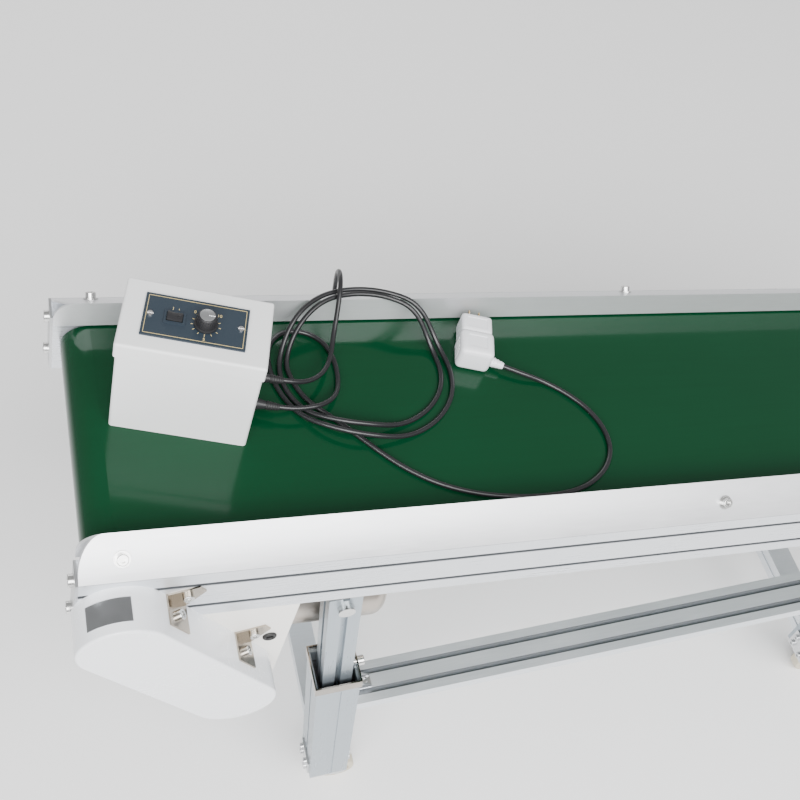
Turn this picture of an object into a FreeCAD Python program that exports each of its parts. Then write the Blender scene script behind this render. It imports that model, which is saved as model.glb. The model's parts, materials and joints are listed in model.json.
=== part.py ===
import FreeCAD, Part
import math
import os

from FreeCAD import Vector

# An inclined belt conveyor on a wheeled stand: 300 mm belt, 1.5 m long bed, drive at the high end.
# Millimetres. The bed is drawn flat, with its high end at x = 0, its near side at y = 0 and the
# tops of its side rails at z = 0, and is then tipped by BED_TILT about the y axis. The stand is
# drawn upright. At the end everything is moved so that the origin is bottom centre of the whole.

# ---- bed
BED_TILT = 10.0
BED_LENGTH = 1500.0
BED_WIDTH = 372.0
SIDE_HEIGHT = 93.0
SIDE_THICK = 30.0
SIDE_WALL = 3.0
SLOT_WIDTH = 6.0
SLOT_DEPTH = 6.0
SLOT_DROPS = (23.0, 70.0)
GUARD_RISE = 33.0
GUARD_REACH = 38.0
GUARD_WALL = 2.5
GUARD_LIP = 5.0
GUARD_CORNER = 26.0
GUARD_FOOT = 0.5
GUARD_TOP_CUT = 1.4
GUARD_FOOT_CUT = 1.6
GUARD_BULGE = 1.5
GUARD_BOLT_X = 42.0
GUARD_BOLT_SHARE = 0.45
GUARD_BOLT_LIFT = 2.0
GUARD_WASHER = (8.5, 1.6)
END_PLATE = 3.0
END_BOLT_DROPS = (14.0, 72.0)
TIE_SIZE = 28.0
TIE_COUNT = 3

# ---- belt and rollers
BELT_WIDTH = 300.0
BELT_THICK = 2.0
BELT_DROP = 8.0
BELT_GAP = 0.3
ROLLER_R = 30.0
ROLLER_SIDE_GAP = 2.0
ROLLER_WALL = 3.0
ROLLER_INSET = 40.0
SHAFT_R = 8.0
SHAFT_CLEARANCE = 0.05
SHAFT_HOLE_CLEARANCE = 1.0
BEARING_R = 16.0
BEARING_WIDTH = 12.0
BEARING_BACK = 14.0
SLIDER_THICK = 2.0
SLIDER_CLEAR = 12.0
SLIDER_LIP = 12.0
RETURN_R = 15.0
RETURN_SHAFT_R = 4.0
RETURN_PLATE = 4.0
RETURN_EAR = 14.0
RETURN_SIDE_GAP = 2.0
RETURN_SHAFT_GAP = 0.5
RETURN_EAR_DROP = 3.0
SHAFT_STOP = 6.0

# ---- drive
COVER_TOP = (42.0, -56.0)
COVER_BOTTOM = (180.0, -235.0)
COVER_R = 48.0
COVER_DEPTH = 50.0
COVER_WALL = 2.0
COVER_ROUND = 3.0
SPROCKET_R = 22.0
SPROCKET_WIDTH = 14.0
SPROCKET_Y = -34.0
CHAIN_THICK = 3.0
CHAIN_SIDE_GAP = 0.5
SPROCKET_RIM = 2.0
SHAFT_STUB = 4.0
MOTOR_PLATE = 4.0
MOTOR_PLATE_EDGE = 240.0
MOTOR_PLATE_DROP = 290.0
MOTOR_PLATE_HEAD = 20.0
MOTOR_PLATE_TAIL = 30.0
MOTOR_PLATE_RISE = 15.0
MOTOR_SHAFT_HOLE = 6.0
GROMMET_PLACE = (22.0, 76.0)
GROMMET_R = 6.0
GEARBOX_WIDTH = 84.0
GEARBOX_ABOVE = 42.0
GEARBOX_BELOW = 85.0
GEARBOX_REACH = 39.0
GEARBOX_ROUND = 8.0
GEARBOX_BORE = 30.0
GEARBOX_BORE_END = 2.0
MOTOR_DROP = 50.0
MOTOR_R = 45.0
MOTOR_LENGTH = 190.0
MOTOR_Y = 112.0
MOTOR_FLANGE = (4.0, 8.0)
MOTOR_ROUND = 22.0
CLIP_WIDTH = 36.0
CLIP_REACH = 34.0
CLIP_THICK = 2.0
CLIP_PLACES = (0.13, 0.76)
BADGE_THICK = 0.8
BADGE_DEPTH = 26.0
BADGE_INSET = 12.0
BADGE_ARC = (82.0, 138.0)
CLIP_TIP = 0.35
CLIP_SCREW_SHARES = (0.55, 0.4)

# ---- stand
LEG_SIZE = 60.0
LEG_WALL = 3.0
LEG_GROOVE = (10.0, 1.5)
LEG_SIDE_GROOVE = (4.0, 1.5)
HEAD_LEG_X = 277.0
TAIL_LEG_X = 1165.0
HEAD_LEG_TOP = -421.0
TAIL_LEG_TOP = -465.0
LEG_FOOT = -795.0
INNER_SIZE = 40.0
INNER_SLOT = 8.0
INNER_BORE = 9.0
INNER_BOSS = 16.0
HEAD_INSERT = 150.0
TAIL_INSERT = 200.0
BUSH_HEIGHT = 24.0
BUSH_SLIDE = 0.3
BUSH_SEAT = 30.0
COLLAR_HEIGHT = 20.0
COLLAR_WALL = 2.0
COLLAR_RISE = 12.0
RAIL_DEPTH = 60.0
RAIL_HEIGHT = 20.0
RAIL_BOTTOM = -520.0
RAIL_GROOVE = (8.0, 6.0)
RAIL_GROOVE_SHARES = (0.27, 0.73)
BRACKET_SIZE = 26.0
BRACKET_WALL = 3.0
BRACKET_WIDTH = 18.0
BRACKET_SCREW_SHARE = 0.66
CLAMP_GAP = 0.5
CROSS_SIZE = 40.0
CROSS_BOTTOM = -786.0
CROSS_GROOVE = (6.0, 1.5)
FOOT_TAB = (3.0, 44.0)
FOOT_TAB_INSET = 8.0
FOOT_SCREW_INSET = 18.0
FOOT_SCREW_HEIGHTS = (12.0, 34.0)
PIVOT_DROP = 40.0
PIVOT_PLATE = 5.0
PIVOT_DISC_R = 45.0
PIVOT_GAP = 1.0
PIVOT_BOLT_R = 6.0
PIVOT_BOLT_END = 2.0
PIVOT_HEAD = (10.2, 8.0)
PIVOT_WASHER = (13.2, 3.0)
PIVOT_NUT = (10.2, 7.0)
PIVOT_EDGE = 2.0
PIVOT_HOLE_CLEARANCE = 0.05
PIVOT_SLOT_HALF = 20.0
PIVOT_SLOT_PLAY = 3.0
LEG_TOP_ABOVE_PIVOT = 22.0

# ---- casters
CASTER_DROP = 84.0
WHEEL_R = 30.0
WHEEL_WIDTH = 22.0
FORK_WALL = 3.0
FORK_GAP = 1.0
CASTER_TRAIL = 20.0
CASTER_PLATE = 4.0
SWIVEL_R = 18.0
AXLE_R = 4.0
STEM_R = 6.0
SWIVEL_BOSS = 6.0
STEM_STOP = 1.0
SWIVEL_GAP = 0.3
FORK_BACK = 10.0
FORK_CHEEK = (12.0, 8.0)
FORK_WHEEL_GAP = 2.0
AXLE_END = 2.0
WHEEL_ROUND = 4.0

# ---- control box, drawn with its near corner at the origin and then turned on the belt
BOX_PLACE = (47.0, 195.0)
BOX_TURN = -15.0
BOX_SIZE = (150.0, 90.0, 126.0)
BOX_WALL = 2.5
BOX_ROUND = 4.0
LID_HEIGHT = 20.0
LID_OVERHANG = 2.0
LID_SKIRT = 6.0
LID_ROUND = 3.0
LID_REBATE = 1.0
PANEL_SIZE = (107.0, 57.0)
PANEL_THICK = 2.0
PANEL_MARGIN = (20.0, 16.0)
KNOB_R = 11.0
KNOB_HEIGHT = 15.0
KNOB_TAPER = 0.82
KNOB_ROUND = 1.5
KNOB_SKIRT = (1.5, 3.0)
KNOB_PLACE = (64.0, 26.0)
ROCKER_SIZE = (17.0, 12.0)
ROCKER_RISE = 3.0
ROCKER_SEAT = 0.4
ROCKER_DIP = 1.0
ROCKER_TIP = 1.2
ROCKER_PLACE = (32.0, 28.0)
SWITCH_RIM = 2.5
SWITCH_RIM_HEIGHT = 1.5
SWITCH_FLOOR = 0.5
PANEL_SCREW = (3.2, 1.6)
PANEL_SCREW_INSET = 7.0
SCREW_SLOT = (1.0, 0.8)
CONTROL_GAP = 0.3
REST_GAP = 0.3
GLAND_R = 7.0
GLAND_LENGTH = 16.0
GLAND_NUT = (8.5, 5.0)
GLAND_NOSE = 0.62
GLAND_HOLE = 5.0
MAINS_GLAND = (48.0, 18.0)
MOTOR_GLAND = (74.0, 34.0)

# ---- cords, whose points are bed points chosen by hand, except the turns of the loose coil
CORD_R = 3.0
CORD_LIFT = 12.0
FIRST_RUN = 21.0
COIL_CENTRE = (355.0, 250.0)
COIL_REACH = (116.0, 103.0)
COIL_SHRINK = 8.0
COIL_SLACK = 10.0
COIL_SLACK_AT = 300.0
COIL_START = 190.0
COIL_STEPS = 15
COIL_POINTS = 30
COIL_HUMP_STEPS = (2, 3)
COIL_LEAN = (280.0, 322.0)
COIL_TOP = 39.5
MOTOR_GLAND_X = 350.0
MOTOR_GLAND_LENGTH = 22.0
MOTOR_GLAND_NUT = (8.5, 6.0)
MOTOR_GLAND_SEAT = 1.0
ARC_SHARE = 0.45
PLUG_PLACE = (499.0, 267.0)
PLUG_AIM = (0.28, 0.96)
PLUG_CORD_AIM = (0.87, -0.49)
PLUG_SIZE = (44.0, 40.0, 36.0)
PLUG_RELIEF = (16.0, 42.0)
PLUG_CORD_Z = 2.0
PLUG_ROUND = 6.0
PLUG_TOP_ROUND = 3.0
PLUG_RELIEF_R = (8.0, 4.2)
PLUG_CORD_END = 26.0
ADAPTER_SIZE = (40.0, 28.0, 32.0)
ADAPTER_ROUND = 4.0
ADAPTER_LIFT = 2.0
ADAPTER_SEAT = 1.0
PIN_SIZE = (6.0, 16.0, 1.6)
PIN_SPACING = 13.0

# ---- screws, as the head's radius and height and the shank's radius
END_BOLT = (7.0, 6.0, 4.0)
GUARD_BOLT = (6.0, 6.5, 3.0)
COVER_BOLT = (6.0, 5.0, 2.5)
BRACKET_BOLT = (5.0, 5.0, 3.0)
FOOT_BOLT = (5.5, 5.0, 3.0)
LOCK_BOLT = (7.0, 9.0, 4.0)
HEAD_ROUND = 0.15
SOCKET_R = 0.5
SOCKET_DEPTH = 0.5
SCREW_BITE = 1.0

# ---- how far a cutting shape runs past the faces that it cuts, and how near an edge counts as picked
PAST = 1.0
NEAR = 0.01

CORD_NODES = ("mains_cord", "mains_plug", "plug_pins", "motor_cord")
NODES = {}


# ---- helpers
def block(x0, y0, z0, x1, y1, z1):
    return Part.makeBox(x1 - x0, y1 - y0, z1 - z0, Vector(x0, y0, z0))


def rod(x, z, r, y0, y1):
    return Part.makeCylinder(r, y1 - y0, Vector(x, y0, z), Vector(0, 1, 0))


def post(x, y, r, z0, z1):
    return Part.makeCylinder(r, z1 - z0, Vector(x, y, z0))


def prism_y(points, y0, y1):
    wire = Part.makePolygon([Vector(x, y0, z) for x, z in points + points[:1]])
    return Part.Face(wire).extrude(Vector(0, y1 - y0, 0))


def stadium(a, b, r, y0, y1):
    """A solid with round ends of radius r about the x-z points a and b, from y0 to y1."""
    ax, az = a
    bx, bz = b
    run = math.hypot(bx - ax, bz - az)
    dx, dz = (bx - ax) / run, (bz - az) / run
    nx, nz = -dz, dx

    def at(x, z, along, across):
        return Vector(x + r * (dx * along + nx * across), y0, z + r * (dz * along + nz * across))

    edges = [
        Part.LineSegment(at(ax, az, 0, 1), at(bx, bz, 0, 1)),
        Part.Arc(at(bx, bz, 0, 1), at(bx, bz, 1, 0), at(bx, bz, 0, -1)),
        Part.LineSegment(at(bx, bz, 0, -1), at(ax, az, 0, -1)),
        Part.Arc(at(ax, az, 0, -1), at(ax, az, -1, 0), at(ax, az, 0, 1)),
    ]
    wire = Part.Wire([e.toShape() for e in edges])
    return Part.Face(wire).extrude(Vector(0, y1 - y0, 0))


def group(solids):
    return Part.makeCompound(solids)


def mirrored(shape):
    """The same piece on the far side of the bed or stand."""
    return shape.mirror(Vector(0, BED_WIDTH / 2, 0), Vector(0, 1, 0))


def both_sides(solids):
    return solids + [mirrored(s) for s in solids]


def on_bed(name, shape):
    shape = shape.copy()
    shape.rotate(Vector(0, 0, 0), Vector(0, 1, 0), BED_TILT)
    NODES[name] = shape


def on_stand(name, shape):
    NODES[name] = shape


def tipped(x, z):
    """Where a bed point lands once the bed is tipped."""
    t = math.radians(BED_TILT)
    return x * math.cos(t) + z * math.sin(t), z * math.cos(t) - x * math.sin(t)


def socket_bolt(base, axis, size, shank):
    """A cap screw: head on base along axis, shank the other way, with a round socket in its head."""
    base, axis = Vector(*base), Vector(*axis)
    r_head, h_head, r_shank = size
    head = Part.makeCylinder(r_head, h_head, base, axis)
    head = head.makeFillet(r_head * HEAD_ROUND, [head.Edges[0]])
    recess = Part.makeCylinder(r_head * SOCKET_R, h_head, base + axis * (h_head * SOCKET_DEPTH), axis)
    body = Part.makeCylinder(r_shank, shank, base - axis * shank, axis)
    return head.cut(recess).fuse(body)


# ---- derived places
ROLLER_Z = -(BELT_DROP + BELT_THICK + BELT_GAP + ROLLER_R)
HEAD_X = ROLLER_INSET
TAIL_X = BED_LENGTH - ROLLER_INSET
INNER_FACE = SIDE_THICK
FAR_INNER_FACE = BED_WIDTH - SIDE_THICK
BELT_Y0 = (BED_WIDTH - BELT_WIDTH) / 2
BELT_Y1 = BELT_Y0 + BELT_WIDTH
BELT_TOP = -BELT_DROP
BELT_BOTTOM = ROLLER_Z - ROLLER_R - BELT_GAP - BELT_THICK
MID_X = BED_LENGTH / 2
LEG_Y = LEG_SIZE / 2
MOTOR_AXIS_Z = COVER_BOTTOM[1] - MOTOR_DROP
RETURN_Z = BELT_BOTTOM - BELT_GAP - RETURN_R
LYING = BELT_TOP + REST_GAP + CORD_R
PANEL_Z = BOX_SIZE[2] + LID_HEIGHT - LID_SKIRT


def pivot_on_bed(leg_x):
    """The bed point, PIVOT_DROP under the side rail, that stands over the leg's centre line."""
    t = math.radians(BED_TILT)
    z = -SIDE_HEIGHT - PIVOT_PLATE - PIVOT_DROP
    return (leg_x - z * math.sin(t)) / math.cos(t), z


# ---- bed
def side_rail():
    rail = block(0, 0, -SIDE_HEIGHT, BED_LENGTH, SIDE_THICK, 0)
    for drop in SLOT_DROPS:
        low = -drop - SLOT_WIDTH / 2
        rail = rail.cut(block(0, 0, low, BED_LENGTH, SLOT_DEPTH, low + SLOT_WIDTH))
    core_y0 = SLOT_DEPTH + SIDE_WALL
    core_y1 = SIDE_THICK - SIDE_WALL
    middle = -SIDE_HEIGHT / 2
    lower = (-SIDE_HEIGHT + SIDE_WALL, middle - SIDE_WALL / 2)
    upper = (middle + SIDE_WALL / 2, -SIDE_WALL)
    for z0, z1 in (lower, upper):
        rail = rail.cut(block(0, core_y0, z0, BED_LENGTH, core_y1, z1))
    for x in (HEAD_X, TAIL_X):
        housing = rod(x, ROLLER_Z, BEARING_R + SIDE_WALL, core_y0 - PAST, core_y1 + PAST)
        rail = rail.fuse(housing).cut(rod(x, ROLLER_Z, BEARING_R, BEARING_BACK, SIDE_THICK + PAST))
        rail = rail.cut(rod(x, ROLLER_Z, SHAFT_R + SHAFT_HOLE_CLEARANCE, -PAST, BEARING_BACK + PAST))
    return rail


def guard():
    """A bent guard: an upright lip over the belt's edge and a skirt that slopes out to the rail."""
    slope = math.atan2(GUARD_RISE, GUARD_REACH)
    across, up = math.sin(slope), math.cos(slope)
    mid = (GUARD_REACH / 2 - GUARD_BULGE * across, GUARD_RISE / 2 + GUARD_BULGE * up)
    inner_top = (GUARD_REACH - GUARD_WALL, GUARD_RISE - GUARD_WALL * GUARD_TOP_CUT)
    inner_foot = (GUARD_WALL * GUARD_FOOT_CUT, 0.0)
    inner_mid = (mid[0] + GUARD_WALL * across, mid[1] - GUARD_WALL * up)
    foot = (GUARD_FOOT, 0.0)

    def v(p):
        return Vector(0, p[0], p[1])

    edges = [
        Part.Arc(v(foot), v(mid), v((GUARD_REACH, GUARD_RISE))),
        Part.LineSegment(v((GUARD_REACH, GUARD_RISE)), v((GUARD_REACH, -GUARD_LIP))),
        Part.LineSegment(v((GUARD_REACH, -GUARD_LIP)), v((GUARD_REACH - GUARD_WALL, -GUARD_LIP))),
        Part.LineSegment(v((GUARD_REACH - GUARD_WALL, -GUARD_LIP)), v(inner_top)),
        Part.Arc(v(inner_top), v(inner_mid), v(inner_foot)),
        Part.LineSegment(v(inner_foot), v(foot)),
    ]
    sheet = Part.Face(Part.Wire([e.toShape() for e in edges])).extrude(Vector(BED_LENGTH, 0, 0))
    keep = block(0, -PAST, -GUARD_LIP - PAST, BED_LENGTH, GUARD_REACH + PAST, GUARD_RISE + PAST)
    for x, turn in ((0, 1), (BED_LENGTH, -1)):
        centre = x + turn * GUARD_CORNER
        corner = block(min(x, centre), -2 * PAST, GUARD_RISE - GUARD_CORNER,
                       max(x, centre), GUARD_REACH + 2 * PAST, GUARD_RISE + 2 * PAST)
        round_end = rod(centre, GUARD_RISE - GUARD_CORNER, GUARD_CORNER, -3 * PAST, GUARD_REACH + 3 * PAST)
        corner = corner.cut(round_end)
        keep = keep.cut(corner)
    return sheet.common(keep)


def end_plates():
    """Plates that close the four ends of the side rails."""
    head = block(-END_PLATE, 0, -SIDE_HEIGHT, 0, SIDE_THICK, 0)
    tail = block(BED_LENGTH, 0, -SIDE_HEIGHT, BED_LENGTH + END_PLATE, SIDE_THICK, 0)
    return group(both_sides([head, tail]))


def frame_bolts():
    bolts = []
    for x, axis in ((-END_PLATE, (-1, 0, 0)), (BED_LENGTH + END_PLATE, (1, 0, 0))):
        for drop in END_BOLT_DROPS:
            bolts.append(socket_bolt((x, SIDE_THICK / 2, -drop), axis, END_BOLT, END_PLATE))
    slope = math.atan2(GUARD_RISE, GUARD_REACH)
    normal = Vector(0, -math.sin(slope), math.cos(slope))
    y = GUARD_REACH * GUARD_BOLT_SHARE
    z = GUARD_RISE * GUARD_BOLT_SHARE + GUARD_BOLT_LIFT
    washer_r, washer_t = GUARD_WASHER
    for x in (GUARD_BOLT_X, MID_X, BED_LENGTH - GUARD_BOLT_X):
        seat = Vector(x, y, z)
        washer = Part.makeCylinder(washer_r, washer_t, seat, normal)
        screw = socket_bolt(tuple(seat + normal * washer_t), tuple(normal), GUARD_BOLT, washer_t)
        bolts.append(washer.fuse(screw))
    return group(both_sides(bolts))


def slider_plate():
    top = BELT_TOP - BELT_THICK - BELT_GAP
    x0 = HEAD_X + ROLLER_R + SLIDER_CLEAR
    x1 = TAIL_X - ROLLER_R - SLIDER_CLEAR
    plate = block(x0, INNER_FACE, top - SLIDER_THICK, x1, FAR_INNER_FACE, top)
    for x in (x0, x1 - SLIDER_THICK):
        plate = plate.fuse(block(x, INNER_FACE, top - SLIDER_LIP, x + SLIDER_THICK, FAR_INNER_FACE, top))
    return plate


def cross_ties():
    top = BELT_TOP - BELT_THICK - BELT_GAP - SLIDER_THICK
    step = BED_LENGTH / TIE_COUNT
    ties = []
    for i in range(TIE_COUNT):
        x = step * (i + 0.5)
        tie = block(x - TIE_SIZE / 2, INNER_FACE, top - TIE_SIZE, x + TIE_SIZE / 2, FAR_INNER_FACE, top)
        w = SIDE_WALL
        ties.append(tie.cut(block(x - TIE_SIZE / 2 + w, INNER_FACE, top - TIE_SIZE + w,
                                  x + TIE_SIZE / 2 - w, FAR_INNER_FACE, top - w)))
    return group(ties)


def belt():
    inner = ROLLER_R + BELT_GAP
    ends = ((HEAD_X, ROLLER_Z), (TAIL_X, ROLLER_Z))
    outside = stadium(*ends, inner + BELT_THICK, BELT_Y0, BELT_Y1)
    return outside.cut(stadium(*ends, inner, BELT_Y0 - PAST, BELT_Y1 + PAST))


def roller(x, shaft_y0, shaft_y1):
    """A rubber-faced tube closed by two discs on a through shaft."""
    y0, y1 = BELT_Y0 - ROLLER_SIDE_GAP, BELT_Y1 + ROLLER_SIDE_GAP
    tube = rod(x, ROLLER_Z, ROLLER_R, y0, y1)
    tube = tube.cut(rod(x, ROLLER_Z, ROLLER_R - ROLLER_WALL, y0 + ROLLER_WALL, y1 - ROLLER_WALL))
    return tube.fuse(rod(x, ROLLER_Z, SHAFT_R, shaft_y0, shaft_y1))


def roller_bearings():
    rings = []
    for x in (HEAD_X, TAIL_X):
        y0 = BEARING_BACK
        ring = rod(x, ROLLER_Z, BEARING_R, y0, y0 + BEARING_WIDTH)
        bore = rod(x, ROLLER_Z, SHAFT_R + SHAFT_CLEARANCE, y0 - PAST, y0 + BEARING_WIDTH + PAST)
        rings.append(ring.cut(bore))
    return group(both_sides(rings))


def return_roller():
    y0 = INNER_FACE + RETURN_PLATE + RETURN_SIDE_GAP
    shaft_y0 = INNER_FACE + RETURN_SHAFT_GAP
    tube = rod(MID_X, RETURN_Z, RETURN_R, y0, BED_WIDTH - y0)
    return tube.fuse(rod(MID_X, RETURN_Z, RETURN_SHAFT_R, shaft_y0, BED_WIDTH - shaft_y0))


def return_brackets():
    low = RETURN_Z - RETURN_R
    high = BELT_BOTTOM - RETURN_EAR_DROP
    ear = block(MID_X - RETURN_EAR, INNER_FACE, low, MID_X + RETURN_EAR, INNER_FACE + RETURN_PLATE, high)
    ear = ear.cut(rod(MID_X, RETURN_Z, RETURN_SHAFT_R + SHAFT_CLEARANCE, INNER_FACE - PAST,
                      INNER_FACE + RETURN_PLATE + PAST))
    return group(both_sides([ear]))


# ---- drive
def cover_point(share, radius):
    """A point on the cover's upper straight edge, and the unit direction out of that edge."""
    dx = COVER_BOTTOM[0] - COVER_TOP[0]
    dz = COVER_BOTTOM[1] - COVER_TOP[1]
    run = math.hypot(dx, dz)
    nx, nz = -dz / run, dx / run
    return (COVER_TOP[0] + dx * share + nx * radius, COVER_TOP[1] + dz * share + nz * radius,
            nx, nz, dx / run, dz / run)


def drive_cover():
    shell = stadium(COVER_TOP, COVER_BOTTOM, COVER_R, -COVER_DEPTH, 0)
    hollow = stadium(COVER_TOP, COVER_BOTTOM, COVER_R - COVER_WALL, -COVER_DEPTH + COVER_WALL, 1)
    rim = [e for e in shell.Edges if abs(e.BoundBox.YMax + COVER_DEPTH) < NEAR]
    return shell.makeFillet(COVER_ROUND, rim).cut(hollow)


def cover_badge():
    """A plain metal plate bent round the top of the cover's rim."""
    x, z = COVER_TOP
    y0 = -COVER_DEPTH + BADGE_INSET
    y1 = y0 + BADGE_DEPTH
    ring = rod(x, z, COVER_R + BADGE_THICK, y0, y1).cut(rod(x, z, COVER_R, y0 - PAST, y1 + PAST))
    reach = COVER_R * 3
    wedge = [(x, z)]
    for degrees in BADGE_ARC:
        a = math.radians(degrees)
        wedge.append((x + reach * math.cos(a), z + reach * math.sin(a)))
    return ring.common(prism_y(wedge, y0 - PAST, y1 + PAST))


def cover_clip(share):
    """One folded clip: a leaf on the cover's rim and a leaf flat on the side face, each with a hole."""
    px, pz, nx, nz, dx, dz = cover_point(share, COVER_R)
    t = CLIP_THICK

    def corner(along, out):
        return px + dx * along + nx * out, pz + dz * along + nz * out

    half = CLIP_WIDTH / 2
    tip = half * CLIP_TIP
    rim_leaf = prism_y([corner(-half, 0), corner(half, 0), corner(half, t), corner(-half, t)], -CLIP_REACH, 0)
    face_leaf = prism_y([corner(-half, 0), corner(half, 0), corner(tip, CLIP_REACH),
                         corner(-tip, CLIP_REACH)], -t, 0)
    return rim_leaf.fuse(face_leaf)


def cover_screws():
    """A screw through each leaf of each clip."""
    screws = []
    for share in CLIP_PLACES:
        px, pz, nx, nz, dx, dz = cover_point(share, COVER_R + CLIP_THICK)
        down, out = (CLIP_REACH * share for share in CLIP_SCREW_SHARES)
        screws.append(socket_bolt((px, -down, pz), (nx, 0, nz), COVER_BOLT, SCREW_BITE))
        face = (px + nx * out, -CLIP_THICK, pz + nz * out)
        screws.append(socket_bolt(face, (0, -1, 0), COVER_BOLT, SCREW_BITE))
    return group(screws)


def motor_plate():
    """The side plate that carries the gearbox under the near rail."""
    edge = MOTOR_PLATE_EDGE
    outline = [(COVER_TOP[0] - MOTOR_PLATE_HEAD, -SIDE_HEIGHT), (edge, -SIDE_HEIGHT), (edge, -MOTOR_PLATE_DROP),
               (COVER_BOTTOM[0] - MOTOR_PLATE_TAIL, -MOTOR_PLATE_DROP + MOTOR_PLATE_RISE)]
    plate = prism_y(outline, 0, MOTOR_PLATE)
    plate = plate.cut(rod(*COVER_BOTTOM, SHAFT_R + MOTOR_SHAFT_HOLE, -PAST, MOTOR_PLATE + PAST))
    back, down = GROMMET_PLACE
    return plate.cut(rod(edge - back, -SIDE_HEIGHT - down, GROMMET_R, -PAST, MOTOR_PLATE + PAST))


def sprocket(centre):
    y0 = SPROCKET_Y
    wheel = rod(*centre, SPROCKET_R, y0, y0 + SPROCKET_WIDTH)
    for y in (y0 - SPROCKET_RIM, y0 + SPROCKET_WIDTH):
        wheel = wheel.fuse(rod(*centre, SPROCKET_R + CHAIN_THICK, y, y + SPROCKET_RIM))
    return wheel


def head_sprocket():
    return sprocket((HEAD_X, ROLLER_Z)).cut(rod(HEAD_X, ROLLER_Z, SHAFT_R, -COVER_DEPTH, 0))


def motor_sprocket():
    shaft = rod(*COVER_BOTTOM, SHAFT_R, SPROCKET_Y - SHAFT_STUB, MOTOR_PLATE + GEARBOX_BORE)
    return sprocket(COVER_BOTTOM).fuse(shaft)


def drive_loop():
    ends = ((HEAD_X, ROLLER_Z), COVER_BOTTOM)
    y0 = SPROCKET_Y + CHAIN_SIDE_GAP
    y1 = SPROCKET_Y + SPROCKET_WIDTH - CHAIN_SIDE_GAP
    inner = SPROCKET_R + BELT_GAP
    return stadium(*ends, inner + CHAIN_THICK, y0, y1).cut(stadium(*ends, inner, y0 - PAST, y1 + PAST))


def gearbox():
    """The housing between the side plate and the motor, bored for the output shaft."""
    x, z = COVER_BOTTOM
    half = GEARBOX_WIDTH / 2
    y1 = MOTOR_Y + GEARBOX_REACH
    housing = block(x - half, MOTOR_PLATE, z - GEARBOX_BELOW, x + half, y1, z + GEARBOX_ABOVE)
    long_edges = [e for e in housing.Edges if e.BoundBox.YLength > y1 / 2]
    housing = housing.makeFillet(GEARBOX_ROUND, long_edges)
    bore_end = MOTOR_PLATE + GEARBOX_BORE + GEARBOX_BORE_END
    return housing.cut(rod(x, z, SHAFT_R + SHAFT_CLEARANCE, MOTOR_PLATE - PAST, bore_end))


def motor_drum(r, length):
    """A round length of the motor, from its seat on the gearbox."""
    seat = Vector(COVER_BOTTOM[0] + GEARBOX_WIDTH / 2, MOTOR_Y, MOTOR_AXIS_Z)
    return Part.makeCylinder(r, length, seat, Vector(1, 0, 0))


def motor():
    rim, thick = MOTOR_FLANGE
    body = motor_drum(MOTOR_R, MOTOR_LENGTH)
    end = body.BoundBox.XMax
    far = [e for e in body.Edges if abs(e.BoundBox.XMin - end) < NEAR]
    return motor_drum(MOTOR_R + rim, thick).fuse(body.makeFillet(MOTOR_ROUND, far))


# ---- pivots between bed and stand
def pivot_bracket(leg_x, slotted):
    """A plate under the side rail with one round ear beside the leg, bored or slotted for its bolt."""
    x, z = pivot_on_bed(leg_x)
    y0 = LEG_Y + INNER_SIZE / 2 + PIVOT_GAP
    base = block(x - PIVOT_DISC_R, PIVOT_EDGE, -SIDE_HEIGHT - PIVOT_PLATE, x + PIVOT_DISC_R, y0 + PIVOT_PLATE,
                 -SIDE_HEIGHT)
    ear = rod(x, z, PIVOT_DISC_R, y0, y0 + PIVOT_PLATE)
    ear = ear.fuse(block(x - PIVOT_DISC_R, y0, z, x + PIVOT_DISC_R, y0 + PIVOT_PLATE, -SIDE_HEIGHT))
    if slotted:
        hole = stadium((x - PIVOT_SLOT_HALF, z), (x + PIVOT_SLOT_HALF, z), PIVOT_BOLT_R + PIVOT_SLOT_PLAY,
                       y0 - PAST, y0 + PIVOT_PLATE + PAST)
    else:
        hole = rod(x, z, PIVOT_BOLT_R + PIVOT_HOLE_CLEARANCE, y0 - PAST, y0 + PIVOT_PLATE + PAST)
    keep = block(x - 2 * PIVOT_DISC_R, 0, z - PIVOT_DISC_R, x + 2 * PIVOT_DISC_R, BED_WIDTH, -SIDE_HEIGHT)
    return base.fuse(ear).common(keep).cut(hole)


def pivot_bolt(leg_x):
    """The bolt through the leg and the ear, with washers on both sides."""
    x, z = tipped(*pivot_on_bed(leg_x))
    y0 = LEG_Y - INNER_SIZE / 2
    y1 = LEG_Y + INNER_SIZE / 2 + 2 * PIVOT_GAP + PIVOT_PLATE
    head_r, head_h = PIVOT_HEAD
    washer_r, washer_t = PIVOT_WASHER
    nut_r, nut_h = PIVOT_NUT
    shank = rod(x, z, PIVOT_BOLT_R, y0 - PIVOT_BOLT_END, y1 + PIVOT_BOLT_END)
    head = rod(x, z, head_r, y0 - head_h, y0)
    nut = rod(x, z, washer_r, y1, y1 + washer_t).fuse(rod(x, z, nut_r, y1 + washer_t, y1 + washer_t + nut_h))
    return shank.fuse(head).fuse(nut)


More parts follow.
